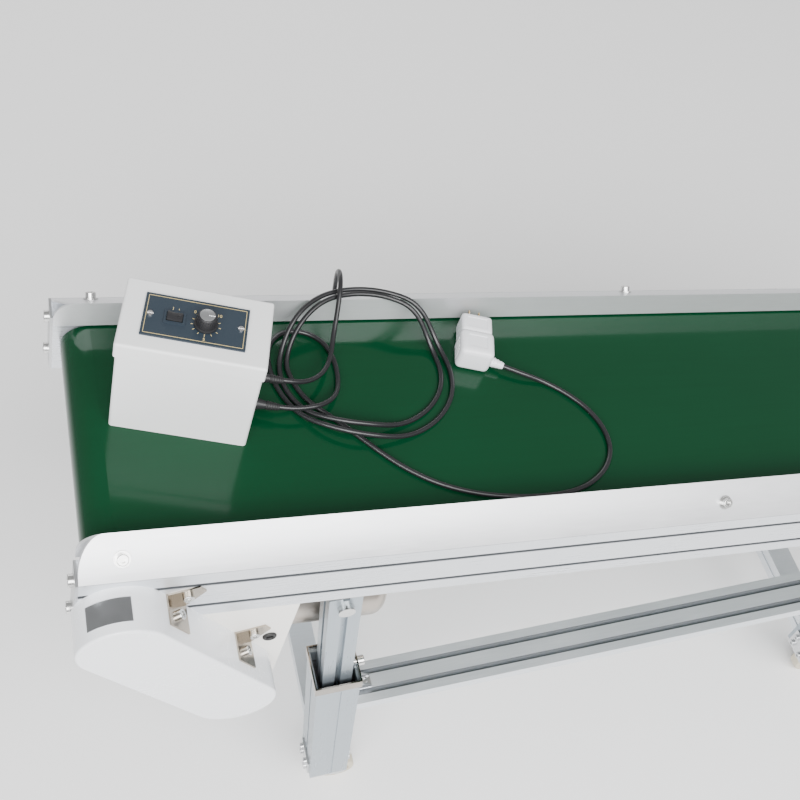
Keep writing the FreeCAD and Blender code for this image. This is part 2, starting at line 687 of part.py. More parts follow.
# ---- stand
def inner_leg(leg_x, leg_top, insert):
    """A slotted square profile that slides in the outer leg."""
    x, z = tipped(*pivot_on_bed(leg_x))
    half = INNER_SIZE / 2
    top = z + LEG_TOP_ABOVE_PIVOT
    leg = block(x - half, LEG_Y - half, leg_top - insert, x + half, LEG_Y + half, top)
    leg = leg.cut(post(x, LEG_Y, INNER_BORE, leg_top - insert - PAST, top + PAST))
    slot = INNER_SLOT / 2
    reach = slot + NEAR
    for sx, sy in ((1, 0), (-1, 0), (0, 1), (0, -1)):
        cx, cy = x + sx * (half - slot), LEG_Y + sy * (half - slot)
        leg = leg.cut(block(cx - reach, cy - reach, leg_top - insert - PAST,
                            cx + reach, cy + reach, top + PAST))
    boss = rod(x, z, INNER_BOSS, LEG_Y - half, LEG_Y + half)
    hole = rod(x, z, PIVOT_BOLT_R + PIVOT_HOLE_CLEARANCE, LEG_Y - half - PAST, LEG_Y + half + PAST)
    return leg.fuse(boss).cut(hole)


def outer_leg(leg_x, leg_top):
    """A square tube with a broad groove down its outer face and a narrow one down each side."""
    half = LEG_SIZE / 2
    inner = half - LEG_WALL
    z0, z1 = LEG_FOOT - PAST, leg_top + PAST
    leg = block(leg_x - half, 0, LEG_FOOT, leg_x + half, LEG_SIZE, leg_top)
    leg = leg.cut(block(leg_x - inner, LEG_WALL, z0, leg_x + inner, LEG_SIZE - LEG_WALL, z1))
    width, deep = LEG_GROOVE
    leg = leg.cut(block(leg_x - width / 2, -PAST, z0, leg_x + width / 2, deep, z1))
    width, deep = LEG_SIDE_GROOVE
    for x0, x1 in ((leg_x - half - PAST, leg_x - half + deep), (leg_x + half - deep, leg_x + half + PAST)):
        leg = leg.cut(block(x0, LEG_Y - width / 2, z0, x1, LEG_Y + width / 2, z1))
    return leg


def leg_collars():
    """Steel sleeves round the tops of the outer legs."""
    collars = []
    for x, top in ((HEAD_LEG_X, HEAD_LEG_TOP), (TAIL_LEG_X, TAIL_LEG_TOP)):
        half = LEG_SIZE / 2
        outer = block(x - half - COLLAR_WALL, -COLLAR_WALL, top + COLLAR_RISE - COLLAR_HEIGHT,
                      x + half + COLLAR_WALL, LEG_SIZE + COLLAR_WALL, top + COLLAR_RISE)
        collars.append(outer.cut(block(x - half, 0, top - COLLAR_HEIGHT - PAST, x + half, LEG_SIZE,
                                       top + COLLAR_RISE + PAST)))
    return group(both_sides(collars))


def leg_bushes():
    """Plastic guides that the inner legs slide in."""
    bushes = []
    for x, top in ((HEAD_LEG_X, HEAD_LEG_TOP), (TAIL_LEG_X, TAIL_LEG_TOP)):
        outer = LEG_SIZE / 2 - LEG_WALL
        inner = INNER_SIZE / 2 + BUSH_SLIDE
        z1 = top - BUSH_SEAT
        bush = block(x - outer, LEG_WALL, z1 - BUSH_HEIGHT, x + outer, LEG_SIZE - LEG_WALL, z1)
        bushes.append(bush.cut(block(x - inner, LEG_Y - inner, z1 - BUSH_HEIGHT - PAST,
                                     x + inner, LEG_Y + inner, z1 + PAST)))
    return group(both_sides(bushes))


def side_stretcher():
    """The flat profile between the legs of one side, with two grooves on top."""
    x0 = HEAD_LEG_X + LEG_SIZE / 2
    x1 = TAIL_LEG_X - LEG_SIZE / 2
    top = RAIL_BOTTOM + RAIL_HEIGHT
    rail = block(x0, 0, RAIL_BOTTOM, x1, RAIL_DEPTH, top)
    width, deep = RAIL_GROOVE
    for share in RAIL_GROOVE_SHARES:
        y = RAIL_DEPTH * share
        rail = rail.cut(block(x0, y - width / 2, top - deep, x1, y + width / 2, top))
    w = SIDE_WALL
    return rail.cut(block(x0, w, RAIL_BOTTOM + w, x1, RAIL_DEPTH - w, top - deep - w))


def cross_rails():
    """Square tubes between the legs of each pair, low down, with a groove along each side."""
    rails = []
    half, w = CROSS_SIZE / 2, SIDE_WALL
    width, deep = CROSS_GROOVE
    y0, y1 = LEG_SIZE, BED_WIDTH - LEG_SIZE
    z0, z1 = CROSS_BOTTOM, CROSS_BOTTOM + CROSS_SIZE
    middle = CROSS_BOTTOM + half
    for x in (HEAD_LEG_X, TAIL_LEG_X):
        rail = block(x - half, y0, z0, x + half, y1, z1)
        rail = rail.cut(block(x - half + w, y0, z0 + w, x + half - w, y1, z1 - w))
        for x0 in (x - half, x + half - deep):
            rail = rail.cut(block(x0, y0, middle - width / 2, x0 + deep, y1, middle + width / 2))
        rails.append(rail)
    return group(rails)


def corner_brackets():
    """Triangular brackets where the stretchers meet the legs, each with two screws."""
    brackets = []
    size, wall = BRACKET_SIZE, BRACKET_WALL
    for x, turn in ((HEAD_LEG_X + LEG_SIZE / 2, 1), (TAIL_LEG_X - LEG_SIZE / 2, -1)):
        z = RAIL_BOTTOM + RAIL_HEIGHT
        y0, y1 = LEG_Y - BRACKET_WIDTH / 2, LEG_Y + BRACKET_WIDTH / 2
        tip = (x + turn * size, z + wall)
        upright = [(x, z), (x + turn * wall, z), (x + turn * wall, z + size), (x, z + size)]
        flat = [(x, z), (x + turn * size, z), tip, (x, z + wall)]
        web = [(x, z), tip, (x + turn * wall, z + size)]
        bracket = prism_y(upright, y0, y1).fuse(prism_y(flat, y0, y1))
        bracket = bracket.fuse(prism_y(web, y0, y0 + wall)).fuse(prism_y(web, y1 - wall, y1))
        out = size * BRACKET_SCREW_SHARE
        bolt_up = socket_bolt((x + turn * wall, LEG_Y, z + out), (turn, 0, 0), BRACKET_BOLT, wall)
        bolt_down = socket_bolt((x + turn * out, LEG_Y, z + wall), (0, 0, 1), BRACKET_BOLT, wall)
        brackets.append(bracket.fuse(bolt_up).fuse(bolt_down))
    return group(both_sides(brackets))


def foot_plates():
    """Side plates with four screws that hold each caster plate to its leg."""
    plates = []
    thick, tall = FOOT_TAB
    inset = FOOT_TAB_INSET
    for x in (HEAD_LEG_X, TAIL_LEG_X):
        for side in (-1, 1):
            face = x + side * LEG_SIZE / 2
            outer = face + side * thick
            tab = block(min(face, outer), inset, LEG_FOOT, max(face, outer), LEG_SIZE - inset, LEG_FOOT + tall)
            for y in (FOOT_SCREW_INSET, LEG_SIZE - FOOT_SCREW_INSET):
                for z in FOOT_SCREW_HEIGHTS:
                    tab = tab.fuse(socket_bolt((outer, y, LEG_FOOT + z), (side, 0, 0), FOOT_BOLT, thick))
            plates.append(tab)
    return group(both_sides(plates))


def lock_bolts():
    """Hand-tightened screws that clamp the inner legs."""
    bolts = []
    for x, top in ((HEAD_LEG_X, HEAD_LEG_TOP), (TAIL_LEG_X, TAIL_LEG_TOP)):
        face = x + LEG_SIZE / 2 + COLLAR_WALL
        shank = LEG_SIZE / 2 + COLLAR_WALL - INNER_SIZE / 2 - CLAMP_GAP
        bolts.append(socket_bolt((face, LEG_Y, top + COLLAR_RISE / 2), (1, 0, 0), LOCK_BOLT, shank))
    return group(both_sides(bolts))


# ---- casters
def caster_places():
    far_y = BED_WIDTH - LEG_Y
    return [(HEAD_LEG_X, LEG_Y), (HEAD_LEG_X, far_y), (TAIL_LEG_X, LEG_Y), (TAIL_LEG_X, far_y)]


def caster_plates():
    """Square top plates with a swivel boss, bolted under the legs."""
    plates = []
    half = LEG_SIZE / 2
    z = LEG_FOOT - CASTER_PLATE
    for x, y in caster_places():
        plate = block(x - half, y - half, z, x + half, y + half, LEG_FOOT)
        plate = plate.fuse(post(x, y, SWIVEL_R, z - SWIVEL_BOSS, z))
        plates.append(plate.cut(post(x, y, STEM_R + SHAFT_CLEARANCE, z - SWIVEL_BOSS - PAST, LEG_FOOT + PAST)))
    return group(plates)


def caster_fork(x, y):
    """A swivelling crown with its stem, two cheeks and the wheel's axle."""
    z = LEG_FOOT - CASTER_PLATE - SWIVEL_BOSS - SWIVEL_GAP
    axle_z = LEG_FOOT - CASTER_DROP + WHEEL_R
    axle_x = x + CASTER_TRAIL
    back = x - FORK_BACK
    inner = WHEEL_WIDTH / 2 + FORK_GAP
    outer = inner + FORK_WALL
    reach, drop = FORK_CHEEK
    crown = post(x, y, SWIVEL_R, z - FORK_WALL, z)
    crown = crown.fuse(block(back, y - outer, z - FORK_WALL, axle_x, y + outer, z))
    fork = crown.fuse(post(x, y, STEM_R, z - FORK_WALL, LEG_FOOT - STEM_STOP))
    outline = [(back, z), (axle_x + reach, z), (axle_x + reach, axle_z - drop), (axle_x - reach, axle_z - drop)]
    for y0 in (y - outer, y + inner):
        fork = fork.fuse(prism_y(outline, y0, y0 + FORK_WALL))
    fork = fork.cut(rod(axle_x, axle_z, WHEEL_R + FORK_WHEEL_GAP, y - inner, y + inner))
    return fork.fuse(rod(axle_x, axle_z, AXLE_R, y - outer - AXLE_END, y + outer + AXLE_END))


def caster_wheel(x, y):
    axle_z = LEG_FOOT - CASTER_DROP + WHEEL_R
    half = WHEEL_WIDTH / 2
    cx = x + CASTER_TRAIL
    wheel = rod(cx, axle_z, WHEEL_R, y - half, y + half)
    wheel = wheel.makeFillet(WHEEL_ROUND, [e for e in wheel.Edges if e.BoundBox.ZLength > WHEEL_R])
    return wheel.cut(rod(cx, axle_z, AXLE_R + SHAFT_CLEARANCE, y - half - PAST, y + half + PAST))


# ---- control box
def on_belt(shape):
    """Turns a control box piece and stands it on the belt."""
    shape = shape.copy()
    shape.rotate(Vector(0, 0, 0), Vector(0, 0, 1), BOX_TURN)
    shape.translate(Vector(BOX_PLACE[0], BOX_PLACE[1], BELT_TOP + REST_GAP))
    return shape


def control_box():
    w, d, h = BOX_SIZE
    box = block(0, 0, 0, w, d, h)
    box = box.makeFillet(BOX_ROUND, [e for e in box.Edges if e.BoundBox.ZLength > h * 0.9])
    box = box.cut(block(BOX_WALL, BOX_WALL, BOX_WALL, w - BOX_WALL, d - BOX_WALL, h + PAST))
    for y, z in (MAINS_GLAND, MOTOR_GLAND):
        start = Vector(w - BOX_WALL - PAST, y, z)
        box = box.cut(Part.makeCylinder(GLAND_HOLE, BOX_WALL + 2 * PAST, start, Vector(1, 0, 0)))
    return box


def control_lid():
    """The lid, which laps over the box's rim and is hollow above it."""
    w, d, h = BOX_SIZE
    o = LID_OVERHANG
    lid = block(-o, -o, h - LID_SKIRT, w + o, d + o, PANEL_Z)
    lid = lid.makeFillet(LID_ROUND, [e for e in lid.Edges if e.BoundBox.ZMax > h + PAST])
    lid = lid.cut(block(0, 0, h - LID_SKIRT - PAST, w, d, h))
    return lid.cut(block(BOX_WALL, BOX_WALL, h - LID_REBATE, w - BOX_WALL, d - BOX_WALL, PANEL_Z - BOX_WALL))


def panel_point(place):
    return PANEL_MARGIN[0] + place[0], PANEL_MARGIN[1] + place[1]


def control_panel():
    """The printed plate, with a raised rim round the switch's well."""
    x, y = PANEL_MARGIN
    face = PANEL_Z + PANEL_THICK
    panel = block(x, y, PANEL_Z, x + PANEL_SIZE[0], y + PANEL_SIZE[1], face)
    rx, ry = panel_point(ROCKER_PLACE)
    half_w, half_d = ROCKER_SIZE[0] / 2, ROCKER_SIZE[1] / 2
    rim = block(rx - half_w - SWITCH_RIM, ry - half_d - SWITCH_RIM, face,
                rx + half_w + SWITCH_RIM, ry + half_d + SWITCH_RIM, face + SWITCH_RIM_HEIGHT)
    well = block(rx - half_w, ry - half_d, PANEL_Z + SWITCH_FLOOR,
                 rx + half_w, ry + half_d, face + SWITCH_RIM_HEIGHT + PAST)
    return panel.fuse(rim).cut(well)


def speed_knob():
    x, y = panel_point(KNOB_PLACE)
    z0 = PANEL_Z + PANEL_THICK + CONTROL_GAP
    top = z0 + KNOB_HEIGHT
    knob = Part.makeCone(KNOB_R, KNOB_R * KNOB_TAPER, KNOB_HEIGHT, Vector(x, y, z0))
    knob = knob.makeFillet(KNOB_ROUND, [e for e in knob.Edges if e.BoundBox.ZMin > top - NEAR])
    rim, thick = KNOB_SKIRT
    return knob.fuse(post(x, y, KNOB_R + rim, z0, z0 + thick))


def rocker_switch():
    """The switch's cap, higher at its pressed-out end."""
    x, y = panel_point(ROCKER_PLACE)
    half_w = ROCKER_SIZE[0] / 2 - 2 * CONTROL_GAP
    half_d = ROCKER_SIZE[1] / 2 - 2 * CONTROL_GAP
    z = PANEL_Z + PANEL_THICK + ROCKER_SEAT
    top = z + ROCKER_RISE
    outline = [(x - half_w, z), (x + half_w, z), (x + half_w, top), (x, top - ROCKER_DIP),
               (x - half_w, top + ROCKER_TIP)]
    return prism_y(outline, y - half_d, y + half_d)


def panel_screws():
    """Two slotted screws that hold the panel to the lid."""
    screws = []
    r, tall = PANEL_SCREW
    width, deep = SCREW_SLOT
    z = PANEL_Z + PANEL_THICK
    for x in (PANEL_SCREW_INSET, PANEL_SIZE[0] - PANEL_SCREW_INSET):
        px, py = panel_point((x, PANEL_SIZE[1] / 2))
        slot = block(px - r - PAST, py - width / 2, z + tall - deep,
                     px + r + PAST, py + width / 2, z + tall + PAST)
        screws.append(post(px, py, r, z, z + tall).cut(slot))
    return group(screws)


def gland(base, axis, nut, length):
    """A cord gland: a nut on its seat and a nose that tapers to the cord."""
    nut_r, nut_h = nut
    ring = Part.makeCylinder(nut_r, nut_h, base, axis)
    nose = Part.makeCone(GLAND_R, GLAND_R * GLAND_NOSE, length - nut_h, base + axis * nut_h, axis)
    return ring.fuse(nose)


def motor_gland():
    """The gland on the far side of the motor, which the motor's cord ends in."""
    base = Vector(MOTOR_GLAND_X, MOTOR_Y + MOTOR_R - MOTOR_GLAND_SEAT, MOTOR_AXIS_Z)
    shape = gland(base, Vector(0, 1, 0), MOTOR_GLAND_NUT, MOTOR_GLAND_LENGTH)
    return shape.cut(motor_drum(MOTOR_R, MOTOR_LENGTH))


def cable_glands():
    glands = []
    for y, z in (MAINS_GLAND, MOTOR_GLAND):
        glands.append(gland(Vector(BOX_SIZE[0], y, z), Vector(1, 0, 0), GLAND_NUT, GLAND_LENGTH))
    return group(glands)


# ---- cords
def gland_end(place, ahead):
    """The bed point a little way ahead of where a cord leaves one of the box's glands."""
    turn = math.radians(BOX_TURN)
    u = Vector(math.cos(turn), math.sin(turn), 0)
    v = Vector(-math.sin(turn), math.cos(turn), 0)
    across, height = place
    corner = Vector(BOX_PLACE[0], BOX_PLACE[1], BELT_TOP + REST_GAP + height)
    return tuple(corner + u * (BOX_SIZE[0] + GLAND_LENGTH + ahead) + v * across)


def coil_point(step):
    """A point of the loose coil, which lies on the belt and leans on the far guard."""
    angle = COIL_START + step * 360.0 / COIL_STEPS
    turns = step / COIL_STEPS
    slack = COIL_SLACK * max(0.0, math.cos(math.radians(angle - COIL_SLACK_AT))) * (turns >= 1)
    a = math.radians(angle)
    x = COIL_CENTRE[0] + (COIL_REACH[0] - COIL_SHRINK * turns - slack) * math.cos(a)
    y = COIL_CENTRE[1] + (COIL_REACH[1] - COIL_SHRINK * turns - slack) * math.sin(a)
    share = min(1.0, max(0.0, (y - COIL_LEAN[0]) / (COIL_LEAN[1] - COIL_LEAN[0])))
    z = LYING + (COIL_TOP - LYING) * share * share * (3 - 2 * share)
    if step % COIL_STEPS in COIL_HUMP_STEPS:
        z += CORD_LIFT
    return x, y, z


def mains_route():
    """From the box's gland, round a small loop and two loose turns, along the belt and to the plug."""
    exit_point = gland_end(MAINS_GLAND, 0.0)
    z = exit_point[2]
    start = [exit_point, gland_end(MAINS_GLAND, FIRST_RUN), (262, 191, z), (288, 195, z), (309, 214, 2)]
    loop = [(319, 243), (320, 275), (311, 302), (288, 318), (261, 316), (243, 297), (237, 268)]
    coil = [coil_point(i) for i in range(COIL_POINTS)]
    tail = [(262, 238), (275, 210), (298, 188), (320, 164), (344, 136), (372, 108), (408, 84), (452, 68),
            (502, 60), (548, 59), (588, 66), (622, 86), (643, 115), (646, 148), (634, 180), (612, 206),
            (587, 225)]
    cx, cy = PLUG_CORD_AIM
    px, py = PLUG_PLACE
    near, far = PLUG_RELIEF[1], PLUG_RELIEF[1] + PLUG_CORD_END
    end = [(px + cx * far, py + cy * far, PLUG_CORD_Z), (px + cx * near, py + cy * near, PLUG_CORD_Z)]
    return start + [(a, b, LYING) for a, b in loop] + coil + [(a, b, LYING) for a, b in tail] + end


def motor_route():
    """From the box's gland, over the far guard, down the far side rail and under it to the motor."""
    gland_y = MOTOR_Y + MOTOR_R + MOTOR_GLAND_LENGTH - MOTOR_GLAND_SEAT
    return [
        gland_end(MOTOR_GLAND, 0.0), gland_end(MOTOR_GLAND, FIRST_RUN),
        (273, 222, 19), (295, 238, 13), (310, 262, 10), (318, 290, 17),
        (325, 315, 35), (330, 337, 52), (335, 361, 52), (340, 381, 35), (345, 388, 5), (350, 387, -32),
        (356, 386, -68), (364, 378, -102), (373, 358, -130), (381, 330, -150), (386, 298, -168),
        (386, 264, -186), (384, 246, -216), (374, 240, -252), (359, 224, -276),
        (MOTOR_GLAND_X, gland_y + FIRST_RUN, MOTOR_AXIS_Z), (MOTOR_GLAND_X, gland_y, MOTOR_AXIS_Z),
    ]


def cord(name, route):
    """A round tube along straight runs joined by tangent arcs."""
    points = [Vector(*p) for p in route]
    edges, radii = [], []
    start = points[0]
    for before, at, after in zip(points, points[1:], points[2:]):
        come, go = at - before, after - at
        reach = ARC_SHARE * min(come.Length, go.Length)
        come.normalize()
        go.normalize()
        half = come.getAngle(go) / 2
        radius = reach / math.tan(half)
        radii.append(radius)
        inward = (go - come).normalize()
        first, last = at - come * reach, at + go * reach
        edges.append(Part.LineSegment(start, first).toShape())
        edges.append(Part.Arc(first, at + inward * (radius / math.cos(half) - radius), last).toShape())
        start = last
    edges.append(Part.LineSegment(start, points[-1]).toShape())
    path = Part.Wire(edges)
    ring = Part.Wire(Part.Circle(points[0], points[1] - points[0], CORD_R).toShape())
    tube = path.makePipeShell([ring], True, True)
    due = path.Length * math.pi * CORD_R ** 2
    print(name, "length", round(path.Length, 1), "volume ratio", round(tube.Volume / due, 4))
    print(name, "bend radii", " ".join(str(round(r)) for r in radii))
    return tube


def on_plug(shape):
    """Turns a plug piece, drawn along y, to its aim, and lays it on the belt."""
    shape = shape.copy()
    shape.rotate(Vector(0, 0, 0), Vector(0, 0, 1), math.degrees(math.atan2(PLUG_AIM[1], PLUG_AIM[0])) - 90)
    shape.translate(Vector(PLUG_PLACE[0], PLUG_PLACE[1], BELT_TOP + REST_GAP))
    return shape


def mains_plug():
    """The plug's body with the adapter ahead of it and the cord's relief at its side."""
    w, d, h = PLUG_SIZE
    body = block(-w / 2, -d / 2, 0, w / 2, d / 2, h)
    body = body.makeFillet(PLUG_ROUND, [e for e in body.Edges if e.BoundBox.ZLength > h * 0.9])
    body = body.makeFillet(PLUG_TOP_ROUND, [e for e in body.Edges if e.BoundBox.ZMin > h - NEAR])
    aw, ad, ah = ADAPTER_SIZE
    z0 = ADAPTER_LIFT
    adapter = block(-aw / 2, d / 2 - ADAPTER_SEAT, z0, aw / 2, d / 2 + ad, z0 + ah)
    adapter = adapter.makeFillet(ADAPTER_ROUND, [e for e in adapter.Edges if e.BoundBox.YLength > ad * 0.9])
    aim = Vector(PLUG_CORD_AIM[0], PLUG_CORD_AIM[1], 0)
    base = Vector(PLUG_PLACE[0], PLUG_PLACE[1], PLUG_CORD_Z) + aim * PLUG_RELIEF[0]
    reach = PLUG_RELIEF[1] - PLUG_RELIEF[0]
    relief = Part.makeCone(*PLUG_RELIEF_R, reach * aim.Length, base, aim)
    return on_plug(body.fuse(adapter)).fuse(relief)


def plug_pins():
    wide, long, thick = PIN_SIZE
    y0 = PLUG_SIZE[1] / 2 + ADAPTER_SIZE[1]
    z = ADAPTER_LIFT + ADAPTER_SIZE[2] / 2
    pins = []
    for x in (-PIN_SPACING / 2, PIN_SPACING / 2):
        pins.append(on_plug(block(x - thick / 2, y0, z - wide / 2, x + thick / 2, y0 + long, z + wide / 2)))
    return group(pins)


def build():
    rail = side_rail()
    on_bed("side_rail_near", rail)
    on_bed("side_rail_far", mirrored(rail))
    near_guard = guard()
    on_bed("guard_near", near_guard)
    on_bed("guard_far", mirrored(near_guard))
    bolts = frame_bolts()
    on_bed("end_plates", end_plates().cut(bolts))
    on_bed("frame_bolts", bolts)
    on_bed("slider_plate", slider_plate())
    on_bed("cross_ties", cross_ties())
    on_bed("conveyor_belt", belt())
    on_bed("head_roller", roller(HEAD_X, SPROCKET_Y - SHAFT_STUB, BED_WIDTH - SHAFT_STOP))
    on_bed("tail_roller", roller(TAIL_X, SHAFT_STOP, BED_WIDTH - SHAFT_STOP))
    on_bed("roller_bearings", roller_bearings())
    on_bed("return_roller", return_roller())
    on_bed("return_roller_brackets", return_brackets())
    on_bed("drive_cover", drive_cover())
    on_bed("cover_badge", cover_badge())
    screws = cover_screws()
    on_bed("cover_clips", group([cover_clip(s).cut(screws) for s in CLIP_PLACES]))
    on_bed("cover_screws", screws)
    on_bed("motor_plate", motor_plate())
    on_bed("head_sprocket", head_sprocket())
    on_bed("motor_sprocket", motor_sprocket())
    on_bed("drive_loop", drive_loop())
    on_bed("gearbox", gearbox())
    on_bed("motor", motor())
    for end, x, slotted in (("head", HEAD_LEG_X, True), ("tail", TAIL_LEG_X, False)):
        on_bed(end + "_pivot_brackets", group(both_sides([pivot_bracket(x, slotted)])))
        on_stand(end + "_pivot_bolts", group(both_sides([pivot_bolt(x)])))
    on_stand("head_inner_legs", group(both_sides([inner_leg(HEAD_LEG_X, HEAD_LEG_TOP, HEAD_INSERT)])))
    on_stand("tail_inner_legs", group(both_sides([inner_leg(TAIL_LEG_X, TAIL_LEG_TOP, TAIL_INSERT)])))
    on_stand("head_outer_legs", group(both_sides([outer_leg(HEAD_LEG_X, HEAD_LEG_TOP)])))
    on_stand("tail_outer_legs", group(both_sides([outer_leg(TAIL_LEG_X, TAIL_LEG_TOP)])))
    on_stand("leg_collars", leg_collars().cut(lock_bolts()))
    on_stand("leg_bushes", leg_bushes())
    stretcher = side_stretcher()
    on_stand("stretcher_near", stretcher)
    on_stand("stretcher_far", mirrored(stretcher))
    on_stand("cross_rails", cross_rails())
    on_stand("corner_brackets", corner_brackets())
    on_stand("foot_plates", foot_plates())
    on_stand("lock_bolts", lock_bolts())
    on_stand("caster_plates", caster_plates())
    for i, (x, y) in enumerate(caster_places(), 1):
        on_stand("caster_fork_%d" % i, caster_fork(x, y))
        on_stand("caster_wheel_%d" % i, caster_wheel(x, y))
    on_bed("control_box", on_belt(control_box()))
    on_bed("control_lid", on_belt(control_lid()))
    on_bed("control_panel", on_belt(control_panel()))
    on_bed("speed_knob", on_belt(speed_knob()))
    on_bed("rocker_switch", on_belt(rocker_switch()))
    on_bed("panel_screws", on_belt(panel_screws()))
    on_bed("cable_glands", group([on_belt(cable_glands()), motor_gland()]))
    on_bed("mains_cord", cord("mains_cord", mains_route()))
    on_bed("motor_cord", cord("motor_cord", motor_route()))
    on_bed("mains_plug", mains_plug())
    on_bed("plug_pins", plug_pins())


def write():
    """Moves everything so that the origin is bottom centre, and writes one file per node."""
    low = [1e9, 1e9, 1e9]
    high = [-1e9, -1e9]
    for name, shape in NODES.items():
        if name in CORD_NODES:
            continue
        b = shape.optimalBoundingBox(False, False)
        low = [min(low[0], b.XMin), min(low[1], b.YMin), min(low[2], b.ZMin)]
        high = [max(high[0], b.XMax), max(high[1], b.YMax)]
    shift = Vector(-(low[0] + high[0]) / 2, -(low[1] + high[1]) / 2, -low[2])
    os.makedirs("parts", exist_ok=True)
    for name, shape in NODES.items():
        shape.translate(shift)
        shape.exportStep("parts/" + name + ".step")
    print("shift", round(shift.x, 4), round(shift.y, 4), round(shift.z, 4))
    print("nodes", len(NODES))


build()
write()
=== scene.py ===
import json
import math

import bpy
from bpy.props import FloatProperty, FloatVectorProperty, IntProperty, PointerProperty
from mathutils import Matrix, Vector


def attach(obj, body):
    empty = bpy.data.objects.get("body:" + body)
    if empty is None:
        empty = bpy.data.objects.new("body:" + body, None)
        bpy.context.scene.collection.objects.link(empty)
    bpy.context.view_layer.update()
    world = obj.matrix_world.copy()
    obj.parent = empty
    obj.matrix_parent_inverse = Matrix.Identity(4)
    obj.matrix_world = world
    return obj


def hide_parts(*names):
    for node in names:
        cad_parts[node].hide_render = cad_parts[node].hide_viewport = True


bl_info = {
    "name": "Inclined Belt Conveyor",
    "version": (1, 0, 0),
    "blender": (4, 5, 0),
    "location": "View3D > Sidebar > Conveyor",
    "description": "Finishes, cords and small fittings for a packed belt conveyor",
    "category": "Object",
}

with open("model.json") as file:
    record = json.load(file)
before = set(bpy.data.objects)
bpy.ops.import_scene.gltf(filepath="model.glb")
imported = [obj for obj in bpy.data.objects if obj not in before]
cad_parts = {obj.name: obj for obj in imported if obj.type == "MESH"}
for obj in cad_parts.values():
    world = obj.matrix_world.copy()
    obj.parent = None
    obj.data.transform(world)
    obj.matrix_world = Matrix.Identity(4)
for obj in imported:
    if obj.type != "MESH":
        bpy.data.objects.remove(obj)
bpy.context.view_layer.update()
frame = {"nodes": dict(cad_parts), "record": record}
NODES = frame["nodes"]
JOINTS = {j["name"]: j for j in frame["record"]["behaviour"]["joints"]}

# ---- places, in metres
# Bed coordinates run along the belt from its high end, across it from the near side, and up from
# the tops of the side rails. They are tied to the frame by the head roller's axis.
BED_TILT = math.radians(10)
HEAD_ROLLER = (0.040, 0.186, -0.0403)
BELT_TOP = -0.008
REST_GAP = 0.0003
BOX_PLACE = (0.047, 0.195)
BOX_TURN = math.radians(-15)
BOX_SIZE = (0.150, 0.090, 0.126)
PANEL_TOP = 0.142
PANEL_AT = (0.020, 0.016)
PANEL_SIZE = (0.107, 0.057)
KNOB_AT = (0.084, 0.042)
KNOB_REACH = 0.011
KNOB_HEIGHT = 0.015
ROCKER_AT = (0.052, 0.044)
ROCKER_SIZE = (0.017, 0.012)
GLAND_LENGTH = 0.016
MAINS_GLAND = (0.048, 0.018)
MOTOR_GLAND = (0.074, 0.034)
PLUG_PLACE = (0.499, 0.267)
PLUG_AIM = (0.28, 0.96)
PLUG_CORD_AIM = (0.87, -0.49)
PLUG_SIZE = (0.044, 0.040, 0.036)
PLUG_RELIEF = (0.016, 0.042)
PLUG_CORD_Z = 0.002
PLUG_CORD_END = 0.026
ADAPTER_SIZE = (0.040, 0.028, 0.032)
FIRST_RUN = 0.021

TILT = Matrix.Rotation(BED_TILT, 4, "Y")
HEAD_AXIS = Vector(JOINTS["head_roller_spin"]["pos_m"])
BED = Matrix.Translation(HEAD_AXIS - TILT @ Vector(HEAD_ROLLER)) @ TILT
ON_BELT = BELT_TOP + REST_GAP
BOX = BED @ Matrix.Translation((*BOX_PLACE, ON_BELT)) @ Matrix.Rotation(BOX_TURN, 4, "Z")
PLUG_TURN = math.atan2(PLUG_AIM[1], PLUG_AIM[0]) - math.pi / 2
PLUG = BED @ Matrix.Translation((*PLUG_PLACE, ON_BELT)) @ Matrix.Rotation(PLUG_TURN, 4, "Z")

# ---- the loose coil of mains cord
COIL_CENTRE = (0.355, 0.250)
COIL_REACH = (0.116, 0.103)
COIL_SHRINK = 0.008
COIL_SLACK = 0.010
COIL_SLACK_AT = 300.0
COIL_START = 190.0
COIL_STEPS = 15
COIL_POINTS = 30
COIL_HUMP_STEPS = (2, 3)
COIL_LEAN = (0.280, 0.322)
COIL_TOP = 0.0395
CORD_LIFT = 0.012

# ---- painted shade in the grooves of the extruded rails, each groove by its two ends across and its two ends up
# The side rails' grooves are in bed coordinates and the stretchers' are in the frame's.
# The colour and strength of the painted shade inside the grooves.
GROOVE_SHADE_COLOUR = (0.10, 0.11, 0.12)
GROOVE_SHADE = 0.85
BED_WIDTH = 0.372
RAIL_GROOVE_DEPTHS = (0.0007, 0.0065)
RAIL_GROOVE_DROPS = (0.023, 0.070)
RAIL_GROOVE_HALF = 0.0031
STRETCHER_MIDDLES = (-0.132, 0.180)
STRETCHER_GROOVE_OFFSET = 0.0138
STRETCHER_GROOVE_HALF = 0.0041
STRETCHER_GROOVE_UP = (0.3725, 0.3783)


def rail_grooves():
    """Painted shade in the two grooves down the outer face of each side rail."""
    shallow, deep = RAIL_GROOVE_DEPTHS
    return [
        (across, (-drop - RAIL_GROOVE_HALF, -drop + RAIL_GROOVE_HALF))
        for across in ((shallow, deep), (BED_WIDTH - deep, BED_WIDTH - shallow))
        for drop in RAIL_GROOVE_DROPS
    ]


def stretcher_grooves():
    """Painted shade in the two grooves along the top of each stretcher."""
    centres = [m + side * STRETCHER_GROOVE_OFFSET for m in STRETCHER_MIDDLES for side in (-1, 1)]
    half = STRETCHER_GROOVE_HALF
    return [((centre - half, centre + half), STRETCHER_GROOVE_UP) for centre in centres]


# ---- shader maths
EVEN = (1, 1, 1)


